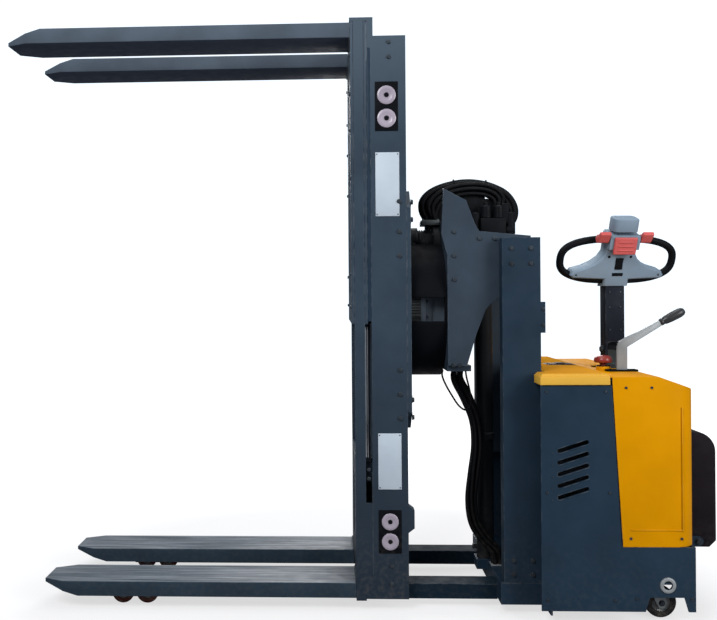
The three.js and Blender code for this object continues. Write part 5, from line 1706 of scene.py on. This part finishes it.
@dataclass
class SlewingUnit:
    """The slewing unit: bearing ring, sheet guard and hydraulic motor.

    Attributes:
        axis_z: height of the turning axis.
        beam_x: front face of the carriage's beam.
        bearing: the ring's outline, as radius and x.
        ring_bolts, beam_bolts: count, circle and first angle of the bolts on the ring and beam.
        bolt_x: where the ring's bolts and the beam's sit.
        guard, guard_back: inner and outer radius of the guard's rim and of its back.
        guard_x: the guard's front.
        gap: half of the angle of the guard's gaps for the side plates.
        pinion_gap: first and last angle of the opening over the pinion.
        rivet_angles, rivet_circle: first angle and end of each row of rivets, and their circle.
        pinion_z: height of the motor's axis.
        motor_front, motor_back: the motor's outline before and behind its fins.
        fin, fin_first, fin_step: outline of a fin, where the first one is, and their distance.
        port, port_size: the motor's port, and its radius and length.
        hood, hood_x: inner and outer radius of the hood over the pinion, and its ends.
        motor_bolts, motor_bolt_x: the motor's bolts.
    """

    axis_z: float = 1000.0
    beam_x: float = 312.3
    bearing: Profile = (
        (110, 192.9), (148, 192.9), (149, 194), (149, 229.4), (172, 229.4), (172, 248),
        (170, 249.4), (165, 249.4), (165, 268), (160, 271), (160, 275), (165, 278), (165, 312.3),
        (110, 312.3), (110, 192.9),
    )
    ring_bolts: Ring = (20, 168.5, 9)
    beam_bolts: Ring = (12, 140, 15)
    bolt_x: Span = (250.0, 332.7)
    guard: Span = (236, 240)
    guard_back: Span = (206, 239)
    guard_x: float = 193.6
    gap: float = math.degrees(math.asin(81 / 2 / 240))
    pinion_gap: Span = (72, 108)
    rivet_angles: tuple[tuple[int, int], ...] = ((20, 66), (116, 166), (196, 350))
    rivet_circle: float = 222.0
    pinion_z: float = 1234.0
    motor_front: Profile = (
        (0, 190.4), (18, 190.4), (18, 229.4), (58, 229.4), (58, 233.4), (50, 236),
    )
    motor_back: Profile = ((50, 284), (64, 290), (64, 310), (62, 312.3), (0, 312.3))
    motor_fins: int = 5
    fin: Profile = ((46, 0), (50, 1.2), (50, 4.6), (46, 6))
    fin_first: float = 240.0
    fin_step: float = 8.5
    port: Point = (276, 0, 1274)
    port_size: Span = (14, 24)
    hood: Span = (54, 58)
    hood_x: Span = (190.5, 232)
    motor_bolts: Ring = (6, 57.5, 30)
    motor_bolt_x: float = 287.0

    def build(self) -> None:
        """Makes every piece of the slewing unit."""
        Shape("bearing_ring", "carriage", Finish.BEARING, stands_for=("slew_bearing",)).lathe(
            self.bearing, "x", (0, 0, self.axis_z), 128).done()
        bolts = Shape("bearing_bolts", "carriage", Finish.BOLT)
        ring_x, beam_x = self.bolt_x
        for y, z in on_circle(*self.ring_bolts):
            bolts.rod("x", (ring_x, y, self.axis_z + z), 3.4, 5, 6)
        for y, z in on_circle(*self.beam_bolts):
            bolts.bolt((beam_x, y, self.axis_z + z), "x", 8)
        bolts.done()
        self.sheet_guard()
        self.motor()

    def rim(self, radii: Span, first: float, last: float, steps: int, axis_z: float) -> list[Span]:
        """Outlines a part of a ring.

        Args:
            radii: its inner and outer radius.
            first, last: the angles between which it runs, in degrees.
            steps: its segments.
            axis_z: height of its axis.

        Returns:
            The corners, as y and z.
        """
        inner, outer = radii
        return [*arc(outer, first, last, steps, axis_z), *arc(inner, last, first, steps, axis_z)]

    def sheet_guard(self) -> None:
        """Makes the guard round the toothed ring, and its rivets."""
        guard = Shape("guard_shell", "carriage", Finish.GUARD, stands_for=("slew_guard",),
                      smooth_angle=30)
        low, high = self.pinion_gap
        for first, last, steps in ((self.gap, low, 20), (high, 180 - self.gap, 20),
                                   (180 + self.gap, 360 - self.gap, 56)):
            guard.prism(self.rim(self.guard, first, last, steps, self.axis_z), "x",
                        (self.guard_x, self.beam_x), 0.8)
        guard.prism(self.rim(self.guard_back, high, 360 + low, 96, self.axis_z), "x",
                    (self.beam_x - 6, self.beam_x), 0.8).done()
        rivets = Shape("guard_rivets", "carriage", Finish.BOLT)
        for first, last in self.rivet_angles:
            for angle in range(first, last, 14):
                y, z = on_circle(1, self.rivet_circle, angle)[0]
                rivets.socket_screw((self.beam_x - 6.1, y, self.axis_z + z), "-x", 4.5)
        rivets.done()

    def motor(self) -> None:
        """Makes the motor, its hood, its port and its bolts."""
        fins = [(radius, self.fin_first + i * self.fin_step + x)
                for i, (radius, x) in product(range(self.motor_fins), self.fin)]
        Shape("slew_motor_case", "carriage", Finish.MOTOR, stands_for=("slew_motor",)).lathe(
            [*self.motor_front, *fins, *self.motor_back], "x", (0, 0, self.pinion_z), 56).prism(
            self.rim(self.hood, 4, 176, 29, self.pinion_z), "x", self.hood_x, 0.8).rod(
            "z", self.port, *self.port_size, 32).done()
        bolts = Shape("motor_bolts", "carriage", Finish.BOLT)
        for y, z in on_circle(*self.motor_bolts):
            bolts.bolt((self.motor_bolt_x, y, self.pinion_z + z), "-x", 4.2)
        bolts.done()


@dataclass
class LiftCarriage:
    """The lift carriage's bolts and welds, its valve bank and the hoses' holders.

    Attributes:
        face_y: the side plates' outer face.
        bolt_places: bolts on the side plates, as x and z.
        sill_z, sill_x, sill_y: the beam's top, and the bolts on it.
        beads, inner_beads: the weld beads on both sides, and those beside the middle.
        blocks: boxes on the left of the valve bank, with their edges' radii and segments.
        coils: its round parts there, as axis, foot, radius, length, steps and edge.
        stack: boxes in its middle with their edges' radii.
        clips, clip_radius: the bundle's clips, as x, z and lean, and their radius.
        bracket, foot: the plates that hold the hanging hoses' ends.
        nuts: the hexagons under the bracket.
    """

    face_y: float = 245.1
    bolt_places: tuple[Span, ...] = (
        (330, 812), (352, 812), (335, 1100), (335, 1180), (335, 1260), (420, 1237), (470, 1237),
        (520, 470), (560, 470), (520, 1180), (560, 1180),
    )
    sill_z: float = 1245.2
    sill_x: Span = (360, 470)
    sill_y: Span = (-150, 150)
    beads: Beads = (
        ((333, 222.6, 812), (333, 222.6, 1210), 2.6),
        ((336, 222.6, 1246.4), (508, 222.6, 1246.4), 2.4),
    )
    inner_beads: Beads = (
        ((333, -97, 1030), (333, -97, 1220), 2.4), ((333, 83, 1030), (333, 83, 1220), 2.4),
    )
    blocks: tuple[tuple[Block, float, int], ...] = (
        (((452, 540), (32, 84), (1245.4, 1318)), 3, 3),
        (((494, 516), (18, 46), (1318, 1352)), 2, 2),
        (((528, 553), (46, 68), (1300, 1372)), 3, 3),
    )
    coils: tuple[tuple[str, Point, float, float, int, float], ...] = (
        ("z", (474, 58, 1318), 19, 46, 32, 3), ("z", (474, 58, 1364), 9, 12, 24, 0.8),
        ("z", (518, 58, 1318), 19, 46, 32, 3), ("z", (518, 58, 1364), 9, 12, 24, 0.8),
        ("x", (540, 58, 1276), 16, 34, 32, 3),
        ("z", (436, 56, 1262), 17, 78, 32, 3), ("z", (436, 56, 1246), 8, 16, 6, 0.8),
        ("z", (560, 56, 1262), 17, 78, 32, 3), ("z", (560, 56, 1246), 8, 16, 6, 0.8),
    )
    stack: tuple[tuple[Block, float], ...] = (
        (((380, 452), (-20, 20), (1245.4, 1409)), 4), (((450, 478), (-20, 20), (1334, 1409)), 4),
        (((476, 514), (-18, 18), (1334, 1394)), 3), (((304, 340), (-18, 18), (1300, 1376)), 3),
    )
    clips: tuple[Point, ...] = ((370, 1440.5, -8), (480, 1437.5, 9))
    clip_radius: float = 25.4
    bracket: Block = ((344, 384), (-116, -70), (786.4, 789.8))
    foot: Block = ((474, 520), (-116, -70), (100.2, 104))
    nuts: tuple[Point, ...] = ((364, -100, 786.6), (364, -84, 786.6))

    def build(self) -> None:
        """Makes every piece of the carriage."""
        bolts = Shape("carriage_bolts", "carriage", Finish.BOLT)
        bolts.both_faces(Shape.bolt, self.face_y, self.bolt_places, 6.5)
        for x, y in product(self.sill_x, self.sill_y):
            bolts.bolt((x, y, self.sill_z), "z", 7)
        bolts.done()
        weld_beads("carriage_welds", "carriage", self.beads, self.inner_beads)
        self.valve_bank()
        self.hose_clips()
        bracket = Shape("hanging_hose_bracket", "carriage", Finish.ZINC).box(*self.bracket, 0.8)
        for place in self.nuts:
            bracket.rod("-z", place, 9, 18, 6)
        bracket.done()
        Shape("hanging_hose_fitting", "chassis", Finish.ZINC).box(*self.foot, 0.8).done()

    def valve_bank(self) -> None:
        """Makes the valve bank on the beam."""
        bank = Shape("valve_box", "carriage", Finish.BLACK)
        for side in (-1, 1):
            for (x, (near, far), z), edge, segments in self.blocks:
                bank.box(x, (side * near, side * far), z, edge, segments)
            for axis, (x, y, z), radius, length, steps, edge in self.coils:
                bank.rod(axis, (x, side * y, z), radius, length, steps, edge)
        for block, edge in self.stack:
            bank.box(*block, edge, 3)
        bank.done()

    def hose_clips(self) -> None:
        """Makes the clips round the hose bundle."""
        clips = Shape("hose_clips", "carriage", Finish.BLACK)
        for x, z, lean in self.clips:
            place = Matrix.Translation((x, 0, z)) @ Matrix.Rotation(math.radians(lean), 4, "Y")
            ring = [place @ Vector((0, u, v)) for u, v in on_circle(40, self.clip_radius, 0)]
            clips.sweep(ring, 1.8, 8, closed=True)
        clips.done()


@dataclass
class TurningFrame:
    """The turning frame, its lower and upper fork carriage and the forks.

    Attributes:
        face_y: the side columns' outer face.
        plates: the bare plates on each column, as x and z.
        pin_inset: from a plate's edges to its pins.
        disc_strips: the dark strips with discs, as middle x, z, the discs' radius and heights.
        strip_half: half of a strip's width.
        bolt_rows: the columns' bolts, as x, radius and heights.
        mount_bolts: the mounting plate's bolts: x, places along y, heights.
        ring_bolts: count, circle and first angle of the bolts round the axis.
        ring_x, axis_z: where those bolts sit.
        beads, clamp_beads: weld beads of the frame and of the upper carriage.
        slide: the left one of the strips that close the gap beside the guide bars.
        clamp_screws, clamp_screw: heights of the upper carriage's screws, and their x and y.
        rod_bolt: the bolt over each clamp cylinder.
    """

    face_y: float = 285.0
    plates: tuple[tuple[Span, Span], ...] = (((72, 151), (1311, 1523)), ((75, 152), (404, 590)))
    pin_inset: Span = (5, 6)
    disc_strips: tuple[tuple[float, Span, float, Span], ...] = (
        (110, (1594, 1758), 31, (1713, 1636)), (113, (192, 336), 28, (297, 231)),
    )
    strip_half: float = 38.0
    bolt_rows: tuple[tuple[float, float, tuple[float, ...]], ...] = (
        (150, 6.5, (640, 720, 800, 1180, 1260, 1360)), (118, 6, (90, 150, 1840, 1890)),
        (44, 5, (440, 470)),
    )
    mount_bolts: tuple[float, Span, tuple[float, ...]] = (188.8, (196, 274), (642, 700, 1300, 1358))
    ring_bolts: Ring = (16, 135, 11.25)
    ring_x: float = 173.8
    axis_z: float = 1000.0
    beads: Beads = (
        ((56, 283.5, 120), (56, 283.5, 460), 2.2), ((72, 188.4, 1803), (72, 188.4, 1909), 2.2),
        ((-1, 102, 94.6), (-1, 283, 94.6), 2.8),
    )
    slide: Block = ((44.3, 56.2), (277, 284), (962, 1960))
    clamp_beads: Beads = (
        ((-11.4, 102, 1905.2), (-11.4, 283, 1905.2), 2.8), ((34, 196, 1542), (34, 242, 1542), 2.0),
    )
    clamp_screws: tuple[float, ...] = (1010, 1120, 1440, 1600, 1720, 1850)
    clamp_screw: Span = (-9.9, 274)
    rod_bolt: Point = (44, 220, 1540.4)

    def build(self) -> None:
        """Makes every piece of the frame and its carriages."""
        for name, _ in SIDES:
            Shape(f"low_fork_{name}", "rotor", Finish.FORK, smooth_angle=30).copy_of(
                f"lower_fork_{name}", 2.0, 3).done()
            Shape(f"high_fork_{name}", "clamp", Finish.PALE_LIT_FORK, smooth_angle=30).copy_of(
                f"upper_fork_{name}", 2.0, 3).done()
        self.column_plates()
        self.column_discs()
        self.bolts()
        weld_beads("frame_welds", "rotor", self.beads)
        strips = Shape("slide_strips", "rotor", Finish.MAST)
        x, (near, far), z = self.slide
        for side in (-1, 1):
            strips.box(x, (side * near, side * far), z)
        strips.done()
        self.upper_carriage()

    def column_plates(self) -> None:
        """Makes the bare plates on the columns, with a pin in each corner."""
        plates = Shape("column_plates", "rotor", Finish.PLATE)
        pins = Shape("plate_pins", "rotor", Finish.BOLT)
        inset_x, inset_z = self.pin_inset
        for (side, axis), (x, z) in product(FACING_Y, self.plates):
            plates.box(x, (side * (self.face_y - 0.4), side * (self.face_y + 1.2)), z, 0.5)
            for pin_x, pin_z in product((x[0] + inset_x, x[1] - inset_x),
                                        (z[0] + inset_z, z[1] - inset_z)):
                place = (pin_x, side * (self.face_y + 1.1), pin_z)
                pins.rod(axis, place, 2.2, 1.1, 16, 0.4)
        plates.done()
        pins.done()

    def column_discs(self) -> None:
        """Makes the dark strips on the columns and the pale discs on them."""
        strips = Shape("column_strips", "rotor", Finish.GUARD)
        discs = Shape("column_discs", "rotor", Finish.DISC)
        half = self.strip_half
        for (side, axis), (x, z, size, heights) in product(FACING_Y, self.disc_strips):
            strips.box((x - half, x + half),
                       (side * (self.face_y - 0.4), side * (self.face_y + 2.2)), z)
            outline = [(0, 0), (size, 0), (size, 1.8), (size - 2, 3), (size * 0.62, 3.6),
                       (size * 0.56, 2.6), (size * 0.3, 2.6), (size * 0.26, 1.2), (0, 1.2)]
            for disc_z in heights:
                discs.lathe(outline, axis, (x, side * (self.face_y + 2.1), disc_z))
                strips.rod(axis, (x, side * (self.face_y + 3.2), disc_z), size * 0.25, 2.4,
                           edge=0.4)
        strips.done()
        discs.done()

    def bolts(self) -> None:
        """Makes the bolts of the columns, the mounting plate and the turning ring."""
        bolts = Shape("frame_bolts", "rotor", Finish.BOLT)
        for x, radius, heights in self.bolt_rows:
            bolts.both_faces(Shape.bolt, self.face_y + 0.1, [(x, z) for z in heights], radius)
        x, places, heights = self.mount_bolts
        for side, y, z in product((-1, 1), places, heights):
            bolts.bolt((x, side * y, z), "x", 8)
        for y, z in on_circle(*self.ring_bolts):
            bolts.bolt((self.ring_x, y, self.axis_z + z), "-x", 8)
        bolts.done()

    def upper_carriage(self) -> None:
        """Makes the upper fork carriage's weld beads, bolts and screws."""
        weld_beads("clamp_welds", "clamp", self.clamp_beads)
        heads = Shape("clamp_bolts", "clamp", Finish.BOLT)
        bolt_x, bolt_y, bolt_z = self.rod_bolt
        x, y = self.clamp_screw
        for side in (-1, 1):
            heads.bolt((bolt_x, side * bolt_y, bolt_z), "z", 9)
            for z in self.clamp_screws:
                heads.socket_screw((x, side * y, z), "-x", 5.5)
        heads.done()


CAD_FINISHES: dict[str, Finish] = {
    "chassis_frame": Finish.DARK, "mast_top_tie": Finish.MAST, "battery": Finish.CASE,
    "hydraulic_power_pack": Finish.PUMP, "drive_unit": Finish.DRIVE,
    "carriage_beam": Finish.CARRIAGE, "slew_pinion": Finish.GEAR, "slew_ring_gear": Finish.GEAR,
    "slew_mount_plate": Finish.FRAME, "frame_top_tie": Finish.FRAME,
    "lower_fork_carriage": Finish.FRAME, "upper_fork_carriage": Finish.FRAME,
    **{f"{node}_{name}": finish for name, _ in SIDES for node, finish in (
        ("support_leg", Finish.LEG), ("mast_channel", Finish.MAST), ("caster_fork", Finish.ZINC),
        ("carriage_plate", Finish.CARRIAGE), ("frame_side", Finish.FRAME))},
}


def dress_cad_nodes() -> None:
    """Gives every CAD node a detailed material, also those that a piece stands for."""
    slots = {entry["node"]: entry["material_slot"] for entry in frame["record"]["subparts"]}
    for name, node in frame["nodes"].items():
        finish = CAD_FINISHES.get(name) or Finish(slots[name])
        if not node.material_slots:
            node.data.materials.append(MATERIALS[finish])
        for material_slot in node.material_slots:
            material_slot.material = MATERIALS[finish]
        log.info("node %s: %s", name, finish.value)


@dataclass(frozen=True)
class Lamp:
    """A round soft light that looks at the truck's middle, in metres and watts."""

    name: str
    place: Point
    size: float
    power: float
    target: Point = (0.1, 0.0, 0.9)

    def build(self) -> None:
        """Makes the light."""
        light = bpy.data.lights.new(f"{self.name}_light", "AREA")
        light.shape, light.size, light.energy = "DISK", self.size, self.power
        lamp = bpy.data.objects.new(f"{self.name}_light", light)
        lamp.location = self.place
        lamp.rotation_euler = (Vector(self.target) - Vector(self.place)).to_track_quat(
            "-Z", "Y").to_euler()
        bpy.context.scene.collection.objects.link(lamp)


@dataclass
class Studio:
    """The pale floor, the world and the lamps.

    Attributes:
        floor_half: half of the floor's width in metres.
        floor_z: its height, just under the wheels.
        glow: what the camera sees of the floor's light, near and far.
        glow_reach: the distances between which that changes, in metres.
        world_light: the world's strength for the truck and for the camera.
    """

    floor_color: Point = (0.3, 0.3, 0.31)
    floor_half: float = 12.0
    floor_z: float = -0.0004
    glow: Span = (0.66, 1.05)
    glow_reach: Span = (1.1, 2.6)
    world_color: Point = (0.84, 0.92, 1.0)
    world_light: Span = (0.26, 1.25)
    lamps: tuple[Lamp, ...] = (
        Lamp("key", (-1.6, -3.2, 3.4), 2.2, 112), Lamp("fill", (3.0, -2.8, 2.0), 2.2, 84),
        Lamp("top", (0.2, 0.4, 4.4), 3.0, 72), Lamp("back", (0.6, 3.6, 2.6), 2.4, 84),
    )

    def build(self) -> None:
        """Makes the floor, the world and the lamps."""
        self.floor()
        self.world()
        bpy.context.scene.view_settings.view_transform = "Standard"
        for lamp in self.lamps:
            lamp.build()

    def floor(self) -> None:
        """Makes the floor, whose glow only the camera sees."""
        mesh = bpy.data.meshes.new("studio_floor")
        builder = bmesh.new()
        bmesh.ops.create_grid(builder, x_segments=1, y_segments=1, size=self.floor_half)
        builder.to_mesh(mesh)
        builder.free()
        mesh.materials.append(self.floor_paint())
        floor = bpy.data.objects.new("studio_floor", mesh)
        floor.location = (0, 0, self.floor_z)
        bpy.context.scene.collection.objects.link(floor)

    def floor_paint(self) -> bpy.types.Material:
        """Makes the floor's material.

        Returns:
            The material.
        """
        paint = bpy.data.materials.new("floor_paint")
        paint.use_nodes = True
        nodes = NodeTree(paint.node_tree)
        sockets = paint.node_tree.nodes["Principled BSDF"].inputs
        for key, value in (("Base Color", (*self.floor_color, 1)), ("Roughness", 0.9),
                           ("Specular IOR Level", 0.0), ("Emission Color", (1, 1, 1, 1))):
            sockets[key].default_value = value
        away = nodes.node("ShaderNodeVectorMath", operation="LENGTH")
        nodes.link(nodes.node("ShaderNodeTexCoord").outputs["Object"], away.inputs[0])
        fade = nodes.ramp(away.outputs["Value"], *self.glow_reach, *self.glow)
        seen = nodes.node("ShaderNodeLightPath").outputs["Is Camera Ray"]
        nodes.link(nodes.times(seen, fade), sockets["Emission Strength"])
        return paint

    def world(self) -> None:
        """Makes the world, brighter to the camera than to the truck."""
        world = bpy.data.worlds.new("studio_world")
        bpy.context.scene.world = world
        world.use_nodes = True
        nodes = NodeTree(world.node_tree)
        sockets = world.node_tree.nodes["Background"].inputs
        sockets["Color"].default_value = (*self.world_color, 1)
        seen = nodes.node("ShaderNodeLightPath").outputs["Is Camera Ray"]
        nodes.link(nodes.ramp(seen, 0.0, 1.0, *self.world_light), sockets["Strength"])


def main() -> None:
    """Builds the camera, every sub-assembly and the studio, in that order."""
    PhotoCamera().build()
    for assembly in (Hoses(), Tiller(), HandLever(), StopButton(), Platform(), BodyCovers(),
                     Wheels(), DriveUnit(), Battery(), Mast(), ClampCylinders(), SlewingUnit(),
                     LiftCarriage(), TurningFrame()):
        log.info("assembly %s", type(assembly).__name__)
        assembly.build()
    dress_cad_nodes()
    Studio().build()


if __name__ == "__main__":
    main()
